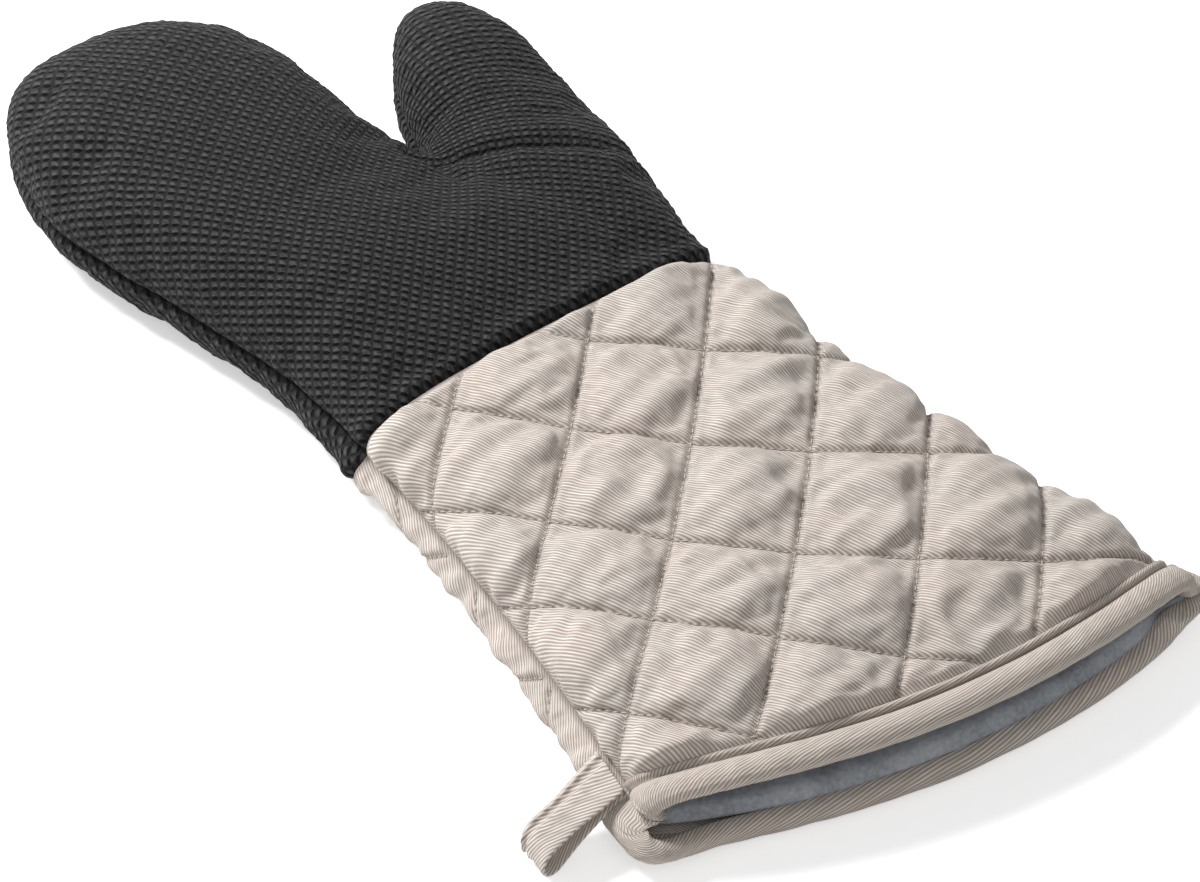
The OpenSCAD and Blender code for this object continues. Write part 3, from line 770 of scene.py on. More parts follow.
@dataclass(frozen=True)
class GripKnit:
    """Black polyester grip knit: rounded scales in rows, a painted highlight on each top and painted shade in
    the hollow under its lower edge.
    """

    name: str = "polyester_grip_knit"
    # colours: painted shade under each scale and in folds and seams, the knit's own black, and a painted
    # highlight on each scale's top
    pit_shade: str = "#060606"
    body: str = "#252525"
    crown_highlight: str = "#4d4d4e"
    scale_across_mm: float = 3.0
    scale_along_mm: float = 2.5
    wobble_mm: float = 6.0
    row_shift: float = 0.09      # each row's start, as a share of a scale's width
    turn_deg: float = 49.0

    def steps(self) -> tuple[tuple, ...]:
        """Arithmetic that turns a place among the scales into painted highlights on the crowns, painted shade
        in the pits and height.

        Returns:
            Rows of a new value's name, its operation and its inputs, which are numbers or earlier names.
        """
        return (("row_number", "FLOOR", "along"), ("row_start", "MULTIPLY", "row_number", self.row_shift),
                ("shifted", "ADD", "across", "row_start"), ("in_scale", "FRACT", "shifted"),
                ("side", "SUBTRACT", "in_scale", 0.5),
                ("in_row", "FRACT", "along"), ("rise", "SUBTRACT", "in_row", 0.6),
                ("lean", "MULTIPLY_ADD", "side", 0.35, "rise"),
                # distance from the crown of the scale
                ("side_square", "MULTIPLY", "side", "side"), ("side_part", "MULTIPLY", "side_square", 2.2),
                ("lean_square", "MULTIPLY", "lean", "lean"), ("lean_part", "MULTIPLY", "lean_square", 2.3),
                ("spread", "ADD", "side_part", "lean_part"),
                # distance from the pit under its lower edge
                ("aside", "SUBTRACT", "side", 0.08), ("under", "ADD", "rise", 0.36),
                ("aside_square", "MULTIPLY", "aside", "aside"),
                ("aside_part", "MULTIPLY", "aside_square", 6.0),
                ("under_square", "MULTIPLY", "under", "under"),
                ("under_part", "MULTIPLY", "under_square", 15.0),
                ("from_pit", "ADD", "aside_part", "under_part"),
                ("past_pit", "SMOOTHSTEP", "from_pit", 0.25, 1.1), ("pit_shade", "SUBTRACT", 1.0, "past_pit"),
                ("past_crown", "SMOOTHSTEP", "spread", 0.02, 0.55),
                ("on_crown", "SUBTRACT", 1.0, "past_crown"),
                ("bright_yarn", "SMOOTHSTEP", "yarn", 0.25, 0.7),
                ("crown_highlight", "MULTIPLY", "on_crown", "bright_yarn"),
                # height of the bump
                ("domed", "SUBTRACT", 1.0, "spread"), ("fuzzy", "MULTIPLY_ADD", "yarn", 0.5, "domed"),
                ("pit_depth", "MULTIPLY", "pit_shade", 0.7), ("height", "SUBTRACT", "fuzzy", "pit_depth"))

    def make(self) -> bpy.types.Material:
        """Builds the scales on the piece's own flat cloth map.

        Returns:
            The new material.
        """
        made = blank_material(self.name)
        tree = made.node_tree
        uv = add_node(tree, "ShaderNodeUVMap", uv_map=CLOTH_UV).outputs[0]
        wobble = add_node(tree, "ShaderNodeTexNoise",
                          {"Vector": uv, "Scale": 1 / (self.wobble_mm * MM), "Detail": 1.0}).outputs["Color"]
        loose = add_node(tree, "ShaderNodeVectorMath", {0: wobble, 1: (1.1 * MM, 1.1 * MM, 0.0), 2: uv},
                         operation="MULTIPLY_ADD").outputs[0]
        turned = add_node(tree, "ShaderNodeMapping",
                          {0: loose, "Rotation": (0.0, 0.0, math.radians(self.turn_deg))}).outputs[0]
        cells = add_node(tree, "ShaderNodeVectorMath",
                         {0: turned, 1: (1 / (self.scale_across_mm * MM),
                                         1 / (self.scale_along_mm * MM), 0.0)},
                         operation="MULTIPLY").outputs[0]
        split = add_node(tree, "ShaderNodeSeparateXYZ", {0: cells})
        yarn = add_node(tree, "ShaderNodeTexNoise",
                        {"Vector": cells, "Scale": 2.4, "Detail": 2.0}).outputs["Fac"]
        known = {"across": split.outputs[0], "along": split.outputs[1], "yarn": yarn}
        for name, kind, *values in self.steps():
            inputs = {place: known.get(value, value) for place, value in enumerate(values)}
            if kind == "SMOOTHSTEP":
                step = add_node(tree, "ShaderNodeMapRange", inputs, interpolation_type=kind)
            else:
                step = add_node(tree, "ShaderNodeMath", inputs, operation=kind)
            known[name] = step.outputs[0]
        shade = add_node(tree, "ShaderNodeAttribute", attribute_name=PAINTED_SHADE).outputs["Fac"]
        # painted light: the tops of the scales are painted lighter as a highlight; the hollows under them and
        # the shade attribute's folds and seams are painted dark as shade
        colour = linear(self.body)
        for share, reached in ((known["crown_highlight"], self.crown_highlight), (known["pit_shade"], self.pit_shade), (shade, self.pit_shade)):
            colour = add_node(tree, "ShaderNodeMix", {0: share, 6: colour, 7: linear(reached)},
                              data_type="RGBA").outputs[2]
        bump = add_node(tree, "ShaderNodeBump",
                        {"Height": known["height"], "Strength": 0.9, "Distance": 0.8 * MM}).outputs[0]
        surface = add_node(tree, "ShaderNodeBsdfPrincipled",
                           {"Base Color": colour, "Normal": bump, "Roughness": 0.8,
                            "Specular IOR Level": 0.11, "Sheen Weight": 0.03,
                            "Sheen Roughness": 0.4}).outputs[0]
        add_node(tree, "ShaderNodeOutputMaterial", {"Surface": surface})
        return made


@dataclass(frozen=True)
class BrushedLining:
    """Blue-grey brushed cotton lining, napped: a soft mottled face with no clear weave."""

    name: str = "cotton_lining_brushed"
    pale: str = "#b2b6bb"
    deep: str = "#868a90"
    fleck_mm: float = 1.6
    cloud_mm: float = 18.0

    def make(self) -> bpy.types.Material:
        """Builds the mottled nap in object coordinates.

        Returns:
            The new material.
        """
        made = blank_material(self.name)
        tree = made.node_tree
        place = add_node(tree, "ShaderNodeTexCoord").outputs["Object"]
        flecks = add_node(tree, "ShaderNodeTexNoise",
                          {"Vector": place, "Scale": 1 / (self.fleck_mm * MM), "Detail": 3.0,
                           "Roughness": 0.6}).outputs["Fac"]
        clouds = add_node(tree, "ShaderNodeTexNoise",
                          {"Vector": place, "Scale": 1 / (self.cloud_mm * MM), "Detail": 1.0}).outputs["Fac"]
        both = add_node(tree, "ShaderNodeMath", {0: flecks, 1: clouds}, operation="ADD").outputs[0]
        share = add_node(tree, "ShaderNodeMapRange",
                         {"Value": both, "From Min": 0.7, "From Max": 1.3}).outputs[0]
        colour = add_node(tree, "ShaderNodeMix", {0: share, 6: linear(self.deep), 7: linear(self.pale)},
                          data_type="RGBA").outputs[2]
        bump = add_node(tree, "ShaderNodeBump",
                        {"Height": flecks, "Strength": 0.5, "Distance": 0.4 * MM}).outputs[0]
        surface = add_node(tree, "ShaderNodeBsdfPrincipled",
                           {"Base Color": colour, "Normal": bump, "Roughness": 0.95,
                            "Specular IOR Level": 0.15, "Sheen Weight": 0.3,
                            "Sheen Roughness": 0.5}).outputs[0]
        add_node(tree, "ShaderNodeOutputMaterial", {"Surface": surface})
        return made


@dataclass(frozen=True)
class SpunThread:
    """Spun polyester sewing thread, twisted: pale, slightly glossy cord."""

    name: str = "polyester_thread_twisted"
    pale: str = "#cfc6bb"
    deep: str = "#94897f"
    ply_mm: float = 0.7

    def make(self) -> bpy.types.Material:
        """Builds the twist in object coordinates.

        Returns:
            The new material.
        """
        made = blank_material(self.name)
        tree = made.node_tree
        place = add_node(tree, "ShaderNodeTexCoord").outputs["Object"]
        plies = add_node(tree, "ShaderNodeTexNoise",
                         {"Vector": place, "Scale": 1 / (self.ply_mm * MM), "Detail": 1.0}).outputs["Fac"]
        colour = add_node(tree, "ShaderNodeMix", {0: plies, 6: linear(self.deep), 7: linear(self.pale)},
                          data_type="RGBA").outputs[2]
        bump = add_node(tree, "ShaderNodeBump",
                        {"Height": plies, "Strength": 0.4, "Distance": 0.1 * MM}).outputs[0]
        surface = add_node(tree, "ShaderNodeBsdfPrincipled",
                           {"Base Color": colour, "Normal": bump, "Roughness": 0.6,
                            "Specular IOR Level": 0.4}).outputs[0]
        add_node(tree, "ShaderNodeOutputMaterial", {"Surface": surface})
        return made


@dataclass(frozen=True)
class PaperSweep:
    """White seamless background paper, matt: keeps a soft shadow and shows as white around it."""

    name: str = "background_paper"
    white: str = "#f4f4f4"
    lift: float = 0.5
    tooth_mm: float = 2.0

    def make(self) -> bpy.types.Material:
        """Adds a little light that only the camera and gloss rays see.

        Returns:
            The new material.
        """
        made = blank_material(self.name)
        tree = made.node_tree
        rays = add_node(tree, "ShaderNodeLightPath")
        seen = add_node(tree, "ShaderNodeMath",
                        {0: rays.outputs["Is Camera Ray"], 1: rays.outputs["Is Glossy Ray"]},
                        operation="MAXIMUM").outputs[0]
        seen = add_node(tree, "ShaderNodeMath", {0: seen, 1: rays.outputs["Is Transmission Ray"]},
                        operation="MAXIMUM").outputs[0]
        place = add_node(tree, "ShaderNodeTexCoord").outputs["Object"]
        tooth = add_node(tree, "ShaderNodeTexNoise",
                         {"Vector": place, "Scale": 1 / (self.tooth_mm * MM)}).outputs["Fac"]
        bump = add_node(tree, "ShaderNodeBump",
                        {"Height": tooth, "Strength": 0.05, "Distance": 0.1 * MM}).outputs[0]
        matt = add_node(tree, "ShaderNodeBsdfDiffuse",
                        {"Color": linear(self.white), "Normal": bump}).outputs[0]
        strength = add_node(tree, "ShaderNodeMath", {0: seen, 1: self.lift}, operation="MULTIPLY").outputs[0]
        glow = add_node(tree, "ShaderNodeEmission", {"Strength": strength}).outputs[0]
        both = add_node(tree, "ShaderNodeAddShader", {0: matt, 1: glow}).outputs[0]
        add_node(tree, "ShaderNodeOutputMaterial", {"Surface": both})
        return made


@dataclass(frozen=True)
class Finishes:
    """The mitt's materials, made once."""

    twill: bpy.types.Material
    bias: bpy.types.Material
    knit: bpy.types.Material
    lining: bpy.types.Material
    thread: bpy.types.Material
    paper: bpy.types.Material

    @classmethod
    def made(cls) -> "Finishes":
        """Builds every material.

        Returns:
            The set of finishes.
        """
        return cls(TwillCotton().make(),
                   TwillCotton(name="cotton_twill_bias_cut", rib_turn_deg=-62.0, rib="#eae3de",
                               gap="#776e69").make(),
                   GripKnit().make(), BrushedLining().make(), SpunThread().make(), PaperSweep().make())


def finish_piece(obj: bpy.types.Object, material: bpy.types.Material, body: str) -> bpy.types.Object:
    """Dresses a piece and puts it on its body.

    Args:
        obj: the piece.
        material: its finish.
        body: the moving or fixed body that carries it.

    Returns:
        The same piece.
    """
    obj.data.materials.clear()
    obj.data.materials.append(material)
    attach(obj, body)
    LOG.info("%s: %d faces", obj.name, len(obj.data.polygons))
    return obj


# ---------------------------------------------------------------- quilted cuff

@dataclass
class QuiltedCuff:
    """The quilted twill cuff: two padded panels with stitch lines and thread."""

    pattern: MittPattern
    finishes: Finishes
    cell_mm: float = 1.7
    pillow_rise: dict = field(default_factory=lambda: {Side.BACK: 4.6, Side.PALM: 3.0})
    side_fade: dict = field(default_factory=lambda: {Side.BACK: 7.0, Side.PALM: 60.0})
    swell_cap: dict = field(default_factory=lambda: {Side.BACK: 2.6, Side.PALM: 1.1})
    fill_pressure: float = 5.0
    extra_cloth: float = 0.035
    valley_lift: float = 2.0
    valley_fade: float = 22.0
    under_join: float = 3.0   # how far the panels reach under the hand's rolled edge
    under_drop: float = 3.4   # how deep that hidden edge lies
    under_run: float = 2.6
    groove_depth: float = 1.1
    groove_half: float = 0.95
    wrinkle: float = 1.3
    stitch_pitch: float = 2.6
    stitch_length: float = 1.9
    stitch_radius: float = 0.26
    hole_width: float = 0.75
    panels: dict[Side, bpy.types.Object] = field(default_factory=dict)

    def grid_places(self, side: Side, u: np.ndarray, v: np.ndarray) -> tuple[np.ndarray, np.ndarray]:
        """Section angle and d of grid shares, with rows that follow the mouth's curve.

        Args:
            side: back or palm.
            u: shares across, from 0 to 1.
            v: shares from the join to the mouth.

        Returns:
            The angle and d of each share.
        """
        p = self.pattern
        angle = p.even_angles(side, u)
        d = v * p.cuff_length
        for _ in range(6):
            d = v * (p.panel_edge(p.cuff_across(side, angle, d)) - 1.0 + self.under_join) - self.under_join
        return angle, d

    def cloth_places(self, panel: bpy.types.Object, side: Side) -> tuple[np.ndarray, np.ndarray, np.ndarray]:
        """Flat x and d of each vertex in millimetres, with its distance from the side seams.

        Args:
            panel: the panel.
            side: back or palm.

        Returns:
            Flat x, flat d and distance from the side seams, one of each a vertex.
        """
        mesh = panel.data
        corners = np.empty(len(mesh.loops), dtype=np.int32)
        mesh.loops.foreach_get("vertex_index", corners)
        flat = np.empty(len(mesh.loops) * 2)
        mesh.uv_layers[CLOTH_UV].data.foreach_get("uv", flat)
        places = np.zeros((len(mesh.vertices), 2))
        places[corners] = flat.reshape(-1, 2) / MM
        x, d = places[:, 0], -places[:, 1]
        width = self.pattern.cloth_width(side, d)
        from_seam = width / 2 - np.abs(x)
        return x, d, from_seam

    def build_panel(self, side: Side) -> bpy.types.Object:
        """Swells, creases and dresses one panel.

        Args:
            side: back or palm.

        Returns:
            The finished panel.
        """
        p = self.pattern
        word = side.name.lower()

        def shape(u: np.ndarray, v: np.ndarray) -> np.ndarray:
            """Points of the panel before it is quilted."""
            return p.metres(*p.cuff_point(side, *self.grid_places(side, u, v)))

        def cloth(u: np.ndarray, v: np.ndarray) -> np.ndarray:
            """Flat cloth places of the same shares."""
            _, d = self.grid_places(side, u, v)
            return np.stack([(u - 0.5) * p.cloth_width(side, d), -d], axis=-1) * MM

        columns = round(float(p.cloth_width(side, 120.0)) / self.cell_mm)
        rows = round(p.cuff_length / self.cell_mm)
        panel = mapped_grid(f"cuff_{word}_panel", columns, rows, shape, cloth, flip=side is Side.BACK)
        x, d, from_seam = self.cloth_places(panel, side)
        body = p.quilted(x, d, from_seam)
        valley = self.valley_lift * ease(from_seam / self.valley_fade) if side is Side.BACK else 0.0
        rise = (self.pillow_rise[side] * ease(from_seam / self.side_fade[side]) * p.diamond(x, d)
                + valley) * body
        rise = rise - self.under_drop * ease(-d / self.under_run)
        set_points(panel.data, get_points(panel.data) + get_normals(panel.data) * rise[:, None] * MM)
        held = np.where(p.stitch_distance(x, d) < 1.0, 1.0, 0.0)
        held = np.maximum(held, np.where(body < 0.2, 1.0, np.clip(1.0 - body, 0.0, 0.75)))
        puff(panel, held, self.fill_pressure, self.swell_cap[side] * MM, shrink=-self.extra_cloth)
        subdivide(panel)
        self.crease(panel, side)
        finish_piece(panel, self.finishes.twill, "mitt")
        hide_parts(f"cuff_{word}_shell", f"cuff_{word}_wadding")
        self.panels[side] = panel
        return panel

    def crease(self, panel: bpy.types.Object, side: Side) -> None:
        """Presses the stitch lines in, adds soft wrinkles and stores the painted shade of the stitch lines,
        needle holes, seams and folds.

        Args:
            panel: the panel.
            side: back or palm.
        """
        p = self.pattern
        points = get_points(panel.data)
        normals = get_normals(panel.data)
        x, d, from_seam = self.cloth_places(panel, side)
        line = p.stitch_distance(x, d)
        body = p.quilted(x, d, from_seam)
        groove = np.exp(-(line / self.groove_half) ** 2) * np.clip(body * 1.6, 0.0, 1.0)
        pucker = np.exp(-(line / 7.0) ** 2) * body
        wide = smooth_noise(x / 24.0 - d / 60.0, d / 8.0 + x / 40.0, 3.0 + side.value)
        fine = smooth_noise(x / 8.0, d / 3.4, 9.0 + side.value)
        lift = self.wrinkle * wide * np.minimum(1.0, line / 6.0) * body + 0.16 * fine * (0.25 + pucker) * body
        move = lift - self.groove_depth * groove
        moved = points + normals * move[:, None] * MM
        moved[:, 2] = np.maximum(moved[:, 2], 0.05 * MM)
        set_points(panel.data, moved)
        # painted shade: dark along the stitch grooves and around them, in the needle holes, under the hand's
        # rolled edge at the join and along the side seams
        holes = p.needle_holes(x, d, self.stitch_pitch, self.hole_width)
        shade = 0.22 * np.exp(-(line / 0.6) ** 2) + 0.1 * np.exp(-(line / 5.0) ** 2) + 0.5 * holes
        shade = shade * np.clip(body * 2.0, 0.0, 1.0)
        shade = shade + 0.75 * np.exp(-(d / 1.6) ** 2) + 0.6 * np.exp(-(from_seam / 1.3) ** 2)
        set_painted_shade(panel.data, shade)

    def build_stitches(self, side: Side) -> bpy.types.Object:
        """Lays short thread stitches along the quilting lines of a panel.

        Args:
            side: back or palm.

        Returns:
            The finished stitches.
        """
        p = self.pattern
        panel = self.panels[side]
        x, d, _ = self.cloth_places(panel, side)
        flat = BVHTree.FromPolygons(np.stack([x, d, np.zeros(len(x))], axis=-1).tolist(),
                                    [tuple(f.vertices) for f in panel.data.polygons])
        points = get_points(panel.data)
        normals = get_normals(panel.data)
        faces = [tuple(f.vertices) for f in panel.data.polygons]
        places = np.stack([x, d], axis=-1)

        def surface(at: np.ndarray) -> Vector | None:
            """Point of the panel at a place of its flat cloth.

            Args:
                at: flat x and d in millimetres.

            Returns:
                The point, or None past the edge of the panel.
            """
            _, _, index, gap = flat.find_nearest((at[0], at[1], 0.0))
            if index is None or gap > 0.5:
                return None
            corners = list(faces[index])
            nearness = 1.0 / (np.linalg.norm(places[corners] - at, axis=1) + 0.05) ** 2
            share = (nearness / nearness.sum())[:, None]
            point = (points[corners] * share).sum(axis=0)
            normal = (normals[corners] * share).sum(axis=0)
            return Vector(point + normal * 0.1 * MM)

        bm = bmesh.new()
        long = math.hypot(p.diamond_across, p.diamond_along)
        for sign in (1, -1):
            for number in range(-8, 9):
                for step in range(-150, 150):
                    ends = []
                    for reach in (-0.5, 0.5):
                        u = ((step + 0.5) * self.stitch_pitch + reach * self.stitch_length) / long
                        x, d = p.off_lattice(u, number - sign * u)
                        from_seam = p.cloth_width(side, d) / 2 - abs(x)
                        if d > 1.0 and p.from_binding(x, d, 4.3) > 0.0 and from_seam > 1.0:
                            ends.append(surface(np.array([x, d])))
                    if len(ends) == 2 and None not in ends:
                        self.add_stitch(bm, *ends)
        made = make_object(f"cuff_{side.name.lower()}_stitches", bm)
        finish_piece(made, self.finishes.thread, "mitt")
        return made

    def add_stitch(self, bm: bmesh.types.BMesh, start: Vector, end: Vector) -> None:
        """Adds one rounded stitch between two points.

        Args:
            bm: the bmesh that holds it.
            start: where the thread comes up.
            end: where it goes down.
        """
        run = end - start
        turn = run.to_track_quat("Z", "Y").to_matrix().to_4x4()
        size = Matrix.Diagonal((self.stitch_radius * MM, self.stitch_radius * MM, run.length / 2, 1.0))
        bmesh.ops.create_uvsphere(bm, u_segments=6, v_segments=4, radius=1.0,
                                  matrix=Matrix.Translation((start + end) / 2) @ turn @ size)

    def build(self) -> None:
        """Builds both panels and their thread."""
        for side in Side:
            self.build_panel(side)
            self.build_stitches(side)


# ---------------------------------------------------------------- knit hand

@dataclass
class KnitHand:
    """The black knit hand: padded back and palm panels, sewn at the side seam."""

    pattern: MittPattern
    finishes: Finishes
    voxel_mm: float = 2.6
    tail_mm: float = 14.0
    seam_band: float = 2.6
    fill_pressure: float = 1.6
    extra_cloth: float = 0.02
    swell_cap: float = 2.2
    seam_tuck: float = 2.6
    crease_depth: float = 1.9
    crotch_depth: float = 1.8
    fold_depth: float = 0.9
    roll_rise: float = 1.1
    roll_tuck: float = 3.2
    cloth_ease: float = 1.04
    thumb_crease: tuple = ((15.5, 90.0), (18.0, 84.0), (28.6, 75.2), (41.9, 66.5), (58.0, 56.3),
                           (75.3, 47.6), (84.0, 44.0))
    crotch_dent: tuple = ((17.8, 84.5), (18.5, 74.9), (19.4, 66.0))
    soft_folds: tuple = (((16.0, 88.0), (5.1, 92.0), (-11.8, 97.0), (-27.2, 104.0)),
                         ((10.0, 72.0), (-6.0, 70.0), (-22.0, 74.0)),
                         ((-66.0, 40.0), (-40.0, 46.0), (-16.0, 44.0)))

    def lobe(self, thumb: bool) -> bmesh.types.BMesh:
        """A closed lobe of the hand, with a tail past the join that is cut off later.

        Args:
            thumb: whether it is the thumb, not the fingers.

        Returns:
            The lobe as a bmesh.
        """
        p = self.pattern
        length = p.thumb_length if thumb else p.hand_length
        bm = bmesh.new()
        shares = share_grid(bm, 128, 110)
        turn = shares[:, 0] * 2 * math.pi
        along = -self.tail_mm + (length + self.tail_mm) * np.sin(shares[:, 1] * math.pi / 2)
        back = turn <= math.pi
        law = p.thumb_point if thumb else p.finger_point
        upper = p.metres(*law(Side.BACK, np.where(back, turn, 0.0), along))
        lower = p.metres(*law(Side.PALM, np.where(back, 0.0, 2 * math.pi - turn), along))
        for vert, point in zip(bm.verts, np.where(back[:, None], upper, lower)):
            vert.co = point
        bmesh.ops.remove_doubles(bm, verts=bm.verts, dist=2e-5)
        bmesh.ops.holes_fill(bm, edges=[e for e in bm.edges if e.is_boundary], sides=0)
        bmesh.ops.recalc_face_normals(bm, faces=bm.faces)
        return bm

    def build_body(self) -> bpy.types.Object:
        """Joins the two lobes, remeshes and swells them.

        Returns:
            The swollen body.
        """
        bm = self.lobe(thumb=False)
        join_into(bm, self.lobe(thumb=True))
        body = make_object("hand_body", bm)
        remesh = body.modifiers.new("even", "REMESH")
        remesh.mode, remesh.voxel_size = "VOXEL", self.voxel_mm * MM
        apply_modifiers(body)
        self.relax(body, 3)
        points = get_points(body.data)
        x, y = self.pattern.pattern_xy(points)
        z = points[:, 2] / MM
        normals = get_normals(body.data)
        rim = (np.abs(z - self.pattern.seam_height) < self.seam_band) & (np.abs(normals[:, 2]) < 0.75)
        crease, _ = line_distance(x, y, self.thumb_crease)
        held = np.where(y < 4.0, 1.0, np.where(rim, 1.0, 0.0))
        held = np.maximum(held, np.where((crease < 2.5) & (z > 20.0), 0.5, 0.0))
        held = np.maximum(held, np.where(z < 1.5, 0.75, 0.0))
        puff(body, held, self.fill_pressure, self.swell_cap * MM, shrink=-self.extra_cloth)
        return body

    def relax(self, obj: bpy.types.Object, times: int) -> None:
        """Evens out a remeshed surface.

        Args:
            obj: the piece.
            times: how many passes of smoothing.
        """
        bm = bmesh.new()
        bm.from_mesh(obj.data)
        for _ in range(times):
            bmesh.ops.smooth_vert(bm, verts=bm.verts, factor=0.5, use_axis_x=True, use_axis_y=True,
                                  use_axis_z=True)
        bm.to_mesh(obj.data)
        bm.free()

    def cut_half(self, body: bpy.types.Object, side: Side) -> bpy.types.Object:
        """Cuts one side's panel from the swollen body, at the join and the side seam.

        Args:
            body: the whole body of the hand, swollen.
            side: back or palm.

        Returns:
            The new half.
        """
        p = self.pattern
        bm = bmesh.new()
        bm.from_mesh(body.data)
        bmesh.ops.bisect_plane(bm, geom=bm.verts[:] + bm.edges[:] + bm.faces[:], dist=1e-6,
                               plane_co=(0.0, p.offset[1] * MM, 0.0), plane_no=(0.0, -1.0, 0.0),
                               clear_outer=True)
        bmesh.ops.bisect_plane(bm, geom=bm.verts[:] + bm.edges[:] + bm.faces[:], dist=1e-6,
                               plane_co=(0.0, 0.0, p.seam_height * MM), plane_no=(0.0, 0.0, -side.value),
                               clear_outer=True)
        bmesh.ops.remove_doubles(bm, verts=bm.verts, dist=2e-4)
        return make_object(f"hand_{side.name.lower()}_panel", bm)

    def build_panel(self, body: bpy.types.Object, side: Side) -> bpy.types.Object:
        """Refines, creases and dresses one panel of the hand.

        Args:
            body: the whole body of the hand, swollen.
            side: back or palm.

        Returns:
            The finished panel.
        """
        panel = self.cut_half(body, side)
        subdivide(panel)
        self.flatten_cloth(panel)
        self.crease(panel, side)
        word = side.name.lower()
        finish_piece(panel, self.finishes.knit, "mitt")
        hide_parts(f"hand_{word}_shell", f"hand_{word}_wadding")
        return panel

    def flatten_cloth(self, panel: bpy.types.Object) -> None:
        """Unrolls the panel to a flat cloth map in metres, with its grain along the hand.

        Args:
            panel: the panel.
        """
        mesh = panel.data
        for layer in list(mesh.uv_layers):
            mesh.uv_layers.remove(layer)
        mesh.uv_layers.new(name=CLOTH_UV)
        bpy.context.view_layer.objects.active = panel
        panel.select_set(True)
        bpy.ops.object.mode_set(mode="EDIT")
        bpy.ops.mesh.select_all(action="SELECT")
        bpy.ops.uv.unwrap(method="ANGLE_BASED", margin=0.0)
        bpy.ops.object.mode_set(mode="OBJECT")
        panel.select_set(False)
        layer = mesh.uv_layers[CLOTH_UV]
        flat = np.empty(len(layer.data) * 2)
        layer.data.foreach_get("uv", flat)
        flat = flat.reshape(-1, 2)
        corners = np.empty(len(mesh.loops), dtype=np.int32)
        mesh.loops.foreach_get("vertex_index", corners)
        place = get_points(mesh)[corners][:, :2]
        a, b = flat - flat.mean(axis=0), place - place.mean(axis=0)
        # best turn, size and handedness that carry the unrolled map onto the hand seen from above
        u, sizes, vt = np.linalg.svd(a.T @ b)
        turned = a @ (u @ vt)
        scale = sizes.sum() / (a ** 2).sum()
        layer.data.foreach_set("uv", (turned * scale * self.cloth_ease).astype(np.float32).ravel())

    def crease(self, panel: bpy.types.Object, side: Side) -> None:
        """Tucks the seam, rolls the join, presses the thumb crease and stores the painted shade of the seam,
        the crease and the join.

        Args:
            panel: the panel.
            side: back or palm.
        """
        p = self.pattern
        points = get_points(panel.data)
        normals = get_normals(panel.data)
        x, y = p.pattern_xy(points)
        z = points[:, 2] / MM
        out = normals.copy()
        out[:, 2] = 0.0
        out /= np.maximum(np.linalg.norm(out, axis=1, keepdims=True), 1e-6)
        from_seam = np.abs(z - p.seam_height)
        on_rim = np.clip(1.4 - np.abs(normals[:, 2]) * 1.2, 0.0, 1.0)
        tuck = np.exp(-(from_seam / 1.7) ** 2) * on_rim
        move = -out * (self.seam_tuck * tuck)[:, None]
        bumps = smooth_noise(x / 2.2, y / 2.2 + z / 2.2, 5.0) * 0.3
        dents = smooth_noise(x / 26.0, y / 26.0, 7.0) * 0.5 + smooth_noise(x / 11.0, y / 11.0, 11.0) * 0.22
        lift = bumps * (1.0 - tuck) + dents * ease(y / 12.0)
        # painted shade in the tucked side seam
        shade = np.exp(-(from_seam / 1.2) ** 2) * on_rim
        if side is Side.BACK:
            crease, share = line_distance(x, y, self.thumb_crease)
            dent, _ = line_distance(x, y, self.crotch_dent)
            depth = self.crease_depth * np.exp(-(crease / 1.7) ** 2) * (1.0 - 0.85 * share)
            lift = lift - depth + 1.0 * np.exp(-((crease - 6.0) / 4.0) ** 2) * (1.0 - 0.8 * share)
            lift -= self.crotch_depth * np.exp(-(dent / 2.6) ** 2)
            for fold in self.soft_folds:
                near, along = line_distance(x, y, fold)
                run = np.sin(np.pi * np.clip(along + 0.2, 0.0, 1.0))
                lift -= self.fold_depth * np.exp(-(near / 4.0) ** 2) * run
            # painted shade in the thumb crease
            shade = np.maximum(shade, 0.5 * np.exp(-(crease / 1.5) ** 2) * (1.0 - 0.9 * share))
        roll = self.roll_rise * np.exp(-((y - 5.0) / 3.2) ** 2) - self.roll_tuck * np.exp(-(y / 2.4) ** 2)
        lift += roll * np.clip((from_seam - 0.5) / 6.0, 0.0, 1.0)
        moved = points + (normals * lift[:, None] + move) * MM
        if side is Side.PALM:
            moved[:, 2] = np.maximum(moved[:, 2], 0.0)
        set_points(panel.data, moved)
        # painted shade where the rolled join tucks under
        set_painted_shade(panel.data, np.maximum(shade, 0.9 * np.exp(-(y / 1.6) ** 2)))

    def build(self) -> None:
        """Builds both panels."""
        body = self.build_body()
        for side in Side:
            self.build_panel(body, side)
        bpy.data.objects.remove(body)


# ---------------------------------------------------------------- linings

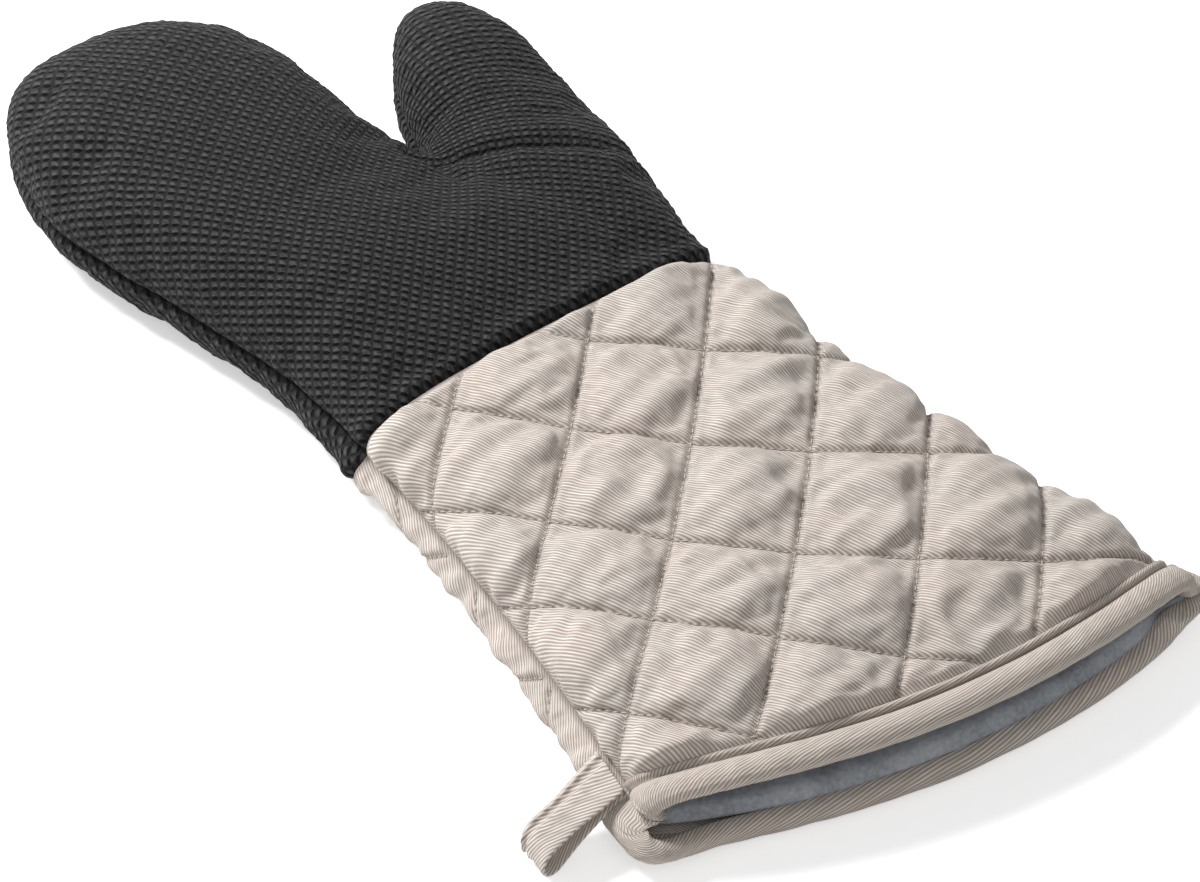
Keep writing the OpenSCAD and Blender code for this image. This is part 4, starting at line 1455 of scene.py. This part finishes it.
@dataclass
class Linings:
    """The brushed lining inside the hand and the cuff, seen through the mouth."""

    pattern: MittPattern
    finishes: Finishes
    hand_depth: float = 8.0
    cuff_depth: float = 4.9
    drawn_in: float = 0.09    # share of the width that the corners of the mouth take
    lip_lift: float = 1.2
    lip_drop: float = 3.6
    heap_rise: float = 2.4
    corner_drop: float = 1.4
    sag: float = 0.5

    def build_cuff(self, side: Side) -> bpy.types.Object:
        """Lining of one cuff panel.

        Args:
            side: back or palm.

        Returns:
            The finished lining.
        """
        p = self.pattern

        def shape(u: np.ndarray, v: np.ndarray) -> np.ndarray:
            """Points of the lining, drawn in at the corners and heaped behind the lower lip.

            Args:
                u: shares along the first direction, from 0 to 1.
                v: shares along the second direction, from 0 to 1.

            Returns:
                Points in metres, as rows.
            """
            angle = p.even_angles(side, u)
            d = v * p.cuff_length
            for _ in range(6):
                d = v * (p.panel_edge(p.cuff_across(side, angle, d, self.cuff_depth)) - 1.5)
            x, y, z = p.cuff_point(side, angle, d, self.cuff_depth)
            x = x * (1.0 - self.drawn_in * ease((v - 0.75) / 0.15) * (1.0 - ease(np.sin(angle) / 0.3)))
            before = p.panel_edge(x) - d
            if side is Side.BACK:
                z = z + self.lip_lift * ease((20.0 - before) / 12.0) * np.sin(angle)
            else:
                heap = ease((before - 1.5) / 3.0) * (1.0 - ease((before - 9.0) / 26.0))
                lift = self.lip_lift - self.lip_drop * (1.0 - ease(before / 3.0)) + self.heap_rise * heap
                z = z + lift * ease((np.sin(angle) - 0.25) / 0.4)
                z = z - self.corner_drop * (1.0 - ease(np.sin(angle) / 0.4))
            rough = smooth_noise(x / 20.0, d / 14.0, 21.0 + side.value) * self.sag
            return p.metres(x, y, z - side.value * np.abs(rough) * np.sin(angle))

        made = mapped_grid(f"cuff_{side.name.lower()}_lining_cloth", 80, 80, shape, flip=side is Side.PALM)
        finish_piece(made, self.finishes.lining, "mitt")
        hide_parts(f"cuff_{side.name.lower()}_lining")
        return made

    def build_hand(self, side: Side) -> bpy.types.Object:
        """Lining of one hand panel: finger and thumb lobes in one mesh.

        Args:
            side: back or palm.

        Returns:
            The finished lining.
        """
        p = self.pattern
        bm = bmesh.new()
        for law, length in ((p.finger_point, p.hand_length), (p.thumb_point, p.thumb_length)):
            bm_lobe = bmesh.new()
            shares = share_grid(bm_lobe, 40, 44)
            along = (length - self.hand_depth) * np.sin(shares[:, 1] * math.pi / 2) * 0.999
            places = p.metres(*law(side, shares[:, 0] * math.pi, along, self.hand_depth))
            for vert, point in zip(bm_lobe.verts, places):
                vert.co = point
            if side is Side.BACK:
                bmesh.ops.reverse_faces(bm_lobe, faces=bm_lobe.faces)
            join_into(bm, bm_lobe)
        made = make_object(f"hand_{side.name.lower()}_lining_cloth", bm)
        finish_piece(made, self.finishes.lining, "mitt")
        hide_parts(f"hand_{side.name.lower()}_lining")
        return made

    def build(self) -> None:
        """Builds the four lining pieces."""
        for side in Side:
            self.build_cuff(side)
            self.build_hand(side)


# ---------------------------------------------------------------- mouth binding

@dataclass
class MouthBinding:
    """The bias binding rolled over the mouth, with its topstitched edge."""

    pattern: MittPattern
    finishes: Finishes
    belly_drop: float = 7.0
    corner_tuck: float = 1.2
    drawn_in: float = 2.5
    curl_at: float = 0.612    # share of the way round the mouth
    curl_in: float = 6.0
    gather: float = 0.6
    cloth_length: float = 0.41   # flat strip in metres
    cloth_width: float = 0.034
    # (out, inward) of the section, from the strip's free edge round the roll to the inside
    strip: tuple = ((-0.4, 12.3), (0.9, 12.2), (1.8, 11.7), (2.1, 10.9), (1.8, 10.1), (0.7, 9.5),
                    (0.2, 9.2), (0.5, 8.8))
    back_roll: tuple = ((1.6, 8.0), (2.5, 6.2), (2.8, 4.2), (2.6, 2.2), (1.6, 0.3), (0.0, -0.8), (-1.8, -0.8),
                        (-3.0, 0.3), (-3.6, 2.2), (-3.6, 5.0), (-3.9, 8.0))
    palm_roll: tuple = ((1.8, 8.0), (3.1, 6.0), (3.5, 3.6), (3.4, 1.0), (2.6, -1.8), (1.0, -3.3),
                        (-0.9, -3.8), (-2.8, -3.3), (-4.2, -1.7), (-4.7, 0.5), (-4.0, 2.6), (-1.8, 4.2),
                        (0.4, 5.4), (0.8, 8.0))

    def section_at(self, share: np.ndarray, roll: tuple) -> tuple[np.ndarray, np.ndarray]:
        """Out and inward millimetres at shares of a section's length.

        Args:
            share: shares from 0 to 1.
            roll: the roll's corners, after the strip's.

        Returns:
            The two coordinates of each place.
        """
        corners = np.array(self.strip + roll)
        run = np.concatenate([[0.0], np.cumsum(np.linalg.norm(np.diff(corners, axis=0), axis=1))])
        fine = np.linspace(0.0, 1.0, 161)
        out, inward = (np.interp(fine * run[-1], run, corners[:, k]) for k in (0, 1))
        soft = np.array([0.25, 0.5, 0.25])
        for _ in range(3):
            out[1:-1], inward[1:-1] = np.convolve(out, soft, "valid"), np.convolve(inward, soft, "valid")
        return np.interp(share, fine, out), np.interp(share, fine, inward)

    def build(self) -> bpy.types.Object:
        """Builds the ring with bias ribs, ripples and a gathered left corner.

        Returns:
            The finished ring.
        """
        p = self.pattern

        def shape(u: np.ndarray, v: np.ndarray) -> np.ndarray:
            """Points of the ring for shares round the mouth and round the section.

            Args:
                u: shares along the first direction, from 0 to 1.
                v: shares along the second direction, from 0 to 1.

            Returns:
                Points in metres, as rows.
            """
            back = u < 0.5
            angle = np.where(back, u * 2 * math.pi, (1.0 - u) * 2 * math.pi)
            upper, lower = self.section_at(v, self.back_roll), self.section_at(v, self.palm_roll)
            share = np.where(back, 0.5 + 0.5 * ease(np.sin(angle) / 0.5),
                             0.5 - 0.5 * ease(np.sin(angle) / 0.5))
            out, inward = (mix(b, a, share) for a, b in zip(upper, lower))
            corner = np.exp(-(np.minimum(u, 1.0 - u) / 0.012) ** 2)
            roll = ease((v - 0.2) / 0.2)
            belly = roll * np.exp(-((1.0 - u - 0.09) / 0.05) ** 2)
            drawn = roll * np.exp(-((1.0 - u - 0.045) / 0.03) ** 2)
            curl = np.exp(-((u - self.curl_at) / 0.017) ** 2)
            curl = curl * ease((v - 0.45) / 0.15) * (1.0 - ease((v - 0.88) / 0.1))
            inward = inward - self.belly_drop * belly - 1.5 * curl
            ripple = smooth_noise(u * 90.0, v * 2.5, 31.0) * 0.3
            ripple = ripple * np.sin(np.pi * np.clip(v * 1.3 - 0.2, 0.0, 1.0))
            gather = np.sin(u * 2 * math.pi * 90.0 + v * 5.0) * self.gather
            gather = gather * np.exp(-(np.minimum(u, 1.0 - u) / 0.03) ** 2)
            out = out + ripple + gather * ease((v - 0.3) / 0.2)
            out = out - self.corner_tuck * corner - self.drawn_in * drawn - self.curl_in * curl
            over = p.metres(*p.ring_point(Side.BACK, np.where(back, angle, 0.0), out, inward))
            under = p.metres(*p.ring_point(Side.PALM, np.where(back, 0.0, angle), out, inward))
            points = np.where(back[:, None], over, under)
            points[:, 2] = np.maximum(points[:, 2], 0.1 * MM)
            return points

        def cloth(u: np.ndarray, v: np.ndarray) -> np.ndarray:
            """Flat places on the bias strip."""
            return np.stack([u * self.cloth_length, v * self.cloth_width], axis=-1)

        ring = mapped_grid("mouth_binding_roll", 520, 96, shape, cloth, flip=True, closed=True)
        points = get_points(ring.data)
        x, y = p.pattern_xy(points)
        inward = p.panel_edge(x) + y
        # painted shade in the grooves along both edges of the topstitched strip, on the roll's outside
        top = np.exp(-((inward - 9.25) / 0.45) ** 2) + 0.8 * np.exp(-((inward - 12.2) / 0.5) ** 2)
        outside = get_normals(ring.data)[:, 2] * np.sign(points[:, 2] / MM - 14.0) > 0.0
        set_painted_shade(ring.data, 0.75 * top * outside)
        finish_piece(ring, self.finishes.bias, "mitt")
        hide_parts("mouth_binding")
        return ring


# ---------------------------------------------------------------- hanging loop

@dataclass
class HangingLoop:
    """The folded twill tape at the left seam, on its own hinge line."""

    pattern: MittPattern
    finishes: Finishes
    root: tuple[float, float, float] = (-77.6, -148.6, 15.449)
    yaw_deg: float = 10.772
    slope_deg: float = 18.48
    run: float = 27.0
    far_radius: float = 4.65
    root_radius: float = 0.9
    tape_width: float = 14.0
    tape_half: float = 0.85
    lean_deg: float = 20.0
    stitch_lines: tuple[float, float] = (-5.2, -1.8)
    ridge_rise: float = 0.95
    root_spread: float = 0.22

    def middle_line(self, share: np.ndarray) -> tuple[np.ndarray, np.ndarray, np.ndarray]:
        """Middle of the tape's section: run, rise and outward angle, from the top at the root round the fold.

        Args:
            share: shares of the section from 0 to 1.

        Returns:
            Run, rise and outward angle at each share.
        """
        slope = math.asin((self.far_radius - self.root_radius) / self.run)
        flat = self.run * math.cos(slope)
        arc = self.far_radius * (math.pi + 2 * slope)
        total = 2 * flat + arc
        at = share * total
        angle = np.where(at < flat, math.pi / 2 + slope,
                         np.where(at > flat + arc, -math.pi / 2 - slope,
                                  math.pi / 2 + slope - (at - flat) / self.far_radius))
        top = at < flat
        bottom = at > flat + arc
        share_top = np.clip(at / flat, 0.0, 1.0)
        share_bottom = np.clip((total - at) / flat, 0.0, 1.0)
        along = np.where(top, share_top, np.where(bottom, share_bottom, 1.0))
        radius = mix(self.root_radius, self.far_radius, along)
        centre = self.run * along
        return centre + radius * np.cos(angle), radius * np.sin(angle), angle

    def place(self, run: Numbers, rise: Numbers, width: Numbers) -> np.ndarray:
        """Points of the part's frame from the loop's own run, rise and width, in millimetres.

        Args:
            run: distance out along the loop.
            rise: distance up from its middle plane.
            width: place across the tape.

        Returns:
            Points in metres, as rows.
        """
        slope, yaw = math.radians(self.slope_deg), math.radians(self.yaw_deg)
        outward = run * math.cos(slope) + rise * math.sin(slope)
        z = -run * math.sin(slope) + rise * math.cos(slope)
        sideways = width + outward * math.tan(math.radians(self.lean_deg))
        x = self.root[0] - outward * math.cos(yaw) - sideways * math.sin(yaw)
        y = self.root[1] + outward * math.sin(yaw) - sideways * math.cos(yaw)
        return np.stack(np.broadcast_arrays(x, y, self.root[2] + z), axis=-1) * MM

    def build(self) -> None:
        """Builds the tape with its two stitch ridges."""
        length = 2 * self.run + self.far_radius * math.pi

        def shape(u: np.ndarray, v: np.ndarray) -> np.ndarray:
            """Points of the tape for shares round the loop and round its section.

            Args:
                u: shares along the first direction, from 0 to 1.
                v: shares along the second direction, from 0 to 1.

            Returns:
                Points in metres, as rows.
            """
            round_at = v * 2 * math.pi
            across = -np.sign(np.cos(round_at)) * np.abs(np.cos(round_at)) ** 0.5
            thick = np.sign(np.sin(round_at)) * np.abs(np.sin(round_at)) ** 0.6
            ridge = sum(np.exp(-((across * self.tape_width / 2 - c) / 0.75) ** 2) for c in self.stitch_lines)
            run, rise, angle = self.middle_line(u)
            twist = 1.0 + 0.25 * np.sin(u * 2 * math.pi * 16)
            half = self.tape_half * thick + self.ridge_rise * ridge * (thick > 0.2) * twist
            wave = smooth_noise(u * 6.0, across * 1.5, 41.0) * 0.25
            width = across * self.tape_width / 2 * (1.0 + self.root_spread * (1.0 - ease(run / 20.0)))
            return self.place(run + (half + wave) * np.cos(angle), rise + (half + wave) * np.sin(angle),
                              width)

        def cloth(u: np.ndarray, v: np.ndarray) -> np.ndarray:
            """Flat places on the tape."""
            across = -np.sign(np.cos(v * 2 * math.pi)) * np.abs(np.cos(v * 2 * math.pi)) ** 0.5
            return np.stack([across * self.tape_width / 2, u * length], axis=-1) * MM

        tape = mapped_grid("hanging_loop_tape", 120, 72, shape, cloth)
        bm = bmesh.new()
        bm.from_mesh(tape.data)
        bmesh.ops.remove_doubles(bm, verts=bm.verts, dist=1e-6)
        bmesh.ops.holes_fill(bm, edges=[e for e in bm.edges if e.is_boundary], sides=0)
        bmesh.ops.recalc_face_normals(bm, faces=bm.faces)
        bm.to_mesh(tape.data)
        bm.free()
        tape.data.shade_smooth()
        set_painted_shade(tape.data, np.zeros(len(tape.data.vertices)))
        finish_piece(tape, self.finishes.twill, "loop")
        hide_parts("hanging_loop")


# ---------------------------------------------------------------- studio

@dataclass
class Studio:
    """White paper, soft lamps and the camera."""

    finishes: Finishes
    camera_at: tuple[float, float, float] = (-0.767300, -0.975868, 1.168467)
    camera_right: tuple[float, float, float] = (0.784997, -0.61908, 0.022785)
    camera_down: tuple[float, float, float] = (-0.413394, -0.550869, -0.725016)
    camera_ahead: tuple[float, float, float] = (0.461395, 0.559717, -0.688355)
    lens_mm: float = 165.0
    world_level: float = 0.35
    overhead: tuple = ((-0.5, 1.2, 1.35), 48.0, 0.5)   # place in metres, watts and side in metres
    front: tuple = ((-0.6, -1.2, 1.3), 5.5, 1.2)
    floor_half: float = 6.0
    floor_drop: float = 0.0004

    def build_floor(self) -> None:
        """Lays the paper under the mitt."""
        bm = bmesh.new()
        bmesh.ops.create_grid(bm, x_segments=1, y_segments=1, size=self.floor_half)
        floor = make_object("paper_floor", bm)
        set_points(floor.data, get_points(floor.data) - np.array([0.0, 0.0, self.floor_drop]))
        floor.data.materials.append(self.finishes.paper)

    def add_lamp(self, name: str, place: tuple, power: float, size: float) -> None:
        """Adds one square soft lamp aimed at the mitt.

        Args:
            name: name of the lamp.
            place: its middle, in metres.
            power: its power in watts.
            size: its side in metres.
        """
        data = bpy.data.lights.new(name, "AREA")
        data.energy, data.size = power, size
        lamp = bpy.data.objects.new(name, data)
        lamp.location = place
        lamp.rotation_euler = (-Vector(place)).to_track_quat("-Z", "Y").to_euler()
        bpy.context.scene.collection.objects.link(lamp)

    def build_world(self) -> None:
        """Pale surroundings that the camera sees as white."""
        world = bpy.data.worlds.new("pale_room")
        bpy.context.scene.world = world
        world.use_nodes = True
        tree = world.node_tree
        tree.nodes.clear()
        rays = add_node(tree, "ShaderNodeLightPath")
        seen = add_node(tree, "ShaderNodeMath",
                        {0: rays.outputs["Is Camera Ray"], 1: rays.outputs["Is Glossy Ray"]},
                        operation="MAXIMUM").outputs[0]
        seen = add_node(tree, "ShaderNodeMath", {0: seen, 1: rays.outputs["Is Transmission Ray"]},
                        operation="MAXIMUM").outputs[0]
        room = add_node(tree, "ShaderNodeBackground", {"Strength": self.world_level}).outputs[0]
        white = add_node(tree, "ShaderNodeBackground", {0: (1.0, 1.0, 1.0, 1.0), "Strength": 1.0}).outputs[0]
        both = add_node(tree, "ShaderNodeMixShader", {0: seen, 1: room, 2: white}).outputs[0]
        add_node(tree, "ShaderNodeOutputWorld", {0: both})

    def build_camera(self) -> None:
        """Sets the camera over the mouth's left side."""
        data = bpy.data.cameras.new("camera")
        data.lens, data.sensor_width = self.lens_mm, 36.0
        data.clip_start, data.clip_end = 0.01, 50.0
        camera = bpy.data.objects.new("camera", data)
        right, down, ahead = Vector(self.camera_right), Vector(self.camera_down), Vector(self.camera_ahead)
        turn = Matrix((right, -down, -ahead)).transposed().to_4x4()
        camera.matrix_world = Matrix.Translation(self.camera_at) @ turn
        bpy.context.scene.collection.objects.link(camera)
        bpy.context.scene.camera = camera

    def build(self) -> None:
        """Builds the whole studio."""
        self.build_floor()
        self.add_lamp("overhead_softbox", *self.overhead)
        self.add_lamp("front_fill", *self.front)
        self.build_world()
        self.build_camera()
        bpy.context.scene.view_settings.view_transform = "Standard"


def main() -> None:
    """Builds the mitt piece by piece and dresses it."""
    logging.basicConfig(level=logging.INFO, format="%(name)s: %(message)s")
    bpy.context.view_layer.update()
    pattern = MittPattern()
    finishes = Finishes.made()
    QuiltedCuff(pattern, finishes).build()
    KnitHand(pattern, finishes).build()
    Linings(pattern, finishes).build()
    MouthBinding(pattern, finishes).build()
    HangingLoop(pattern, finishes).build()
    Studio(finishes).build()


if __name__ == "__main__":
    main()
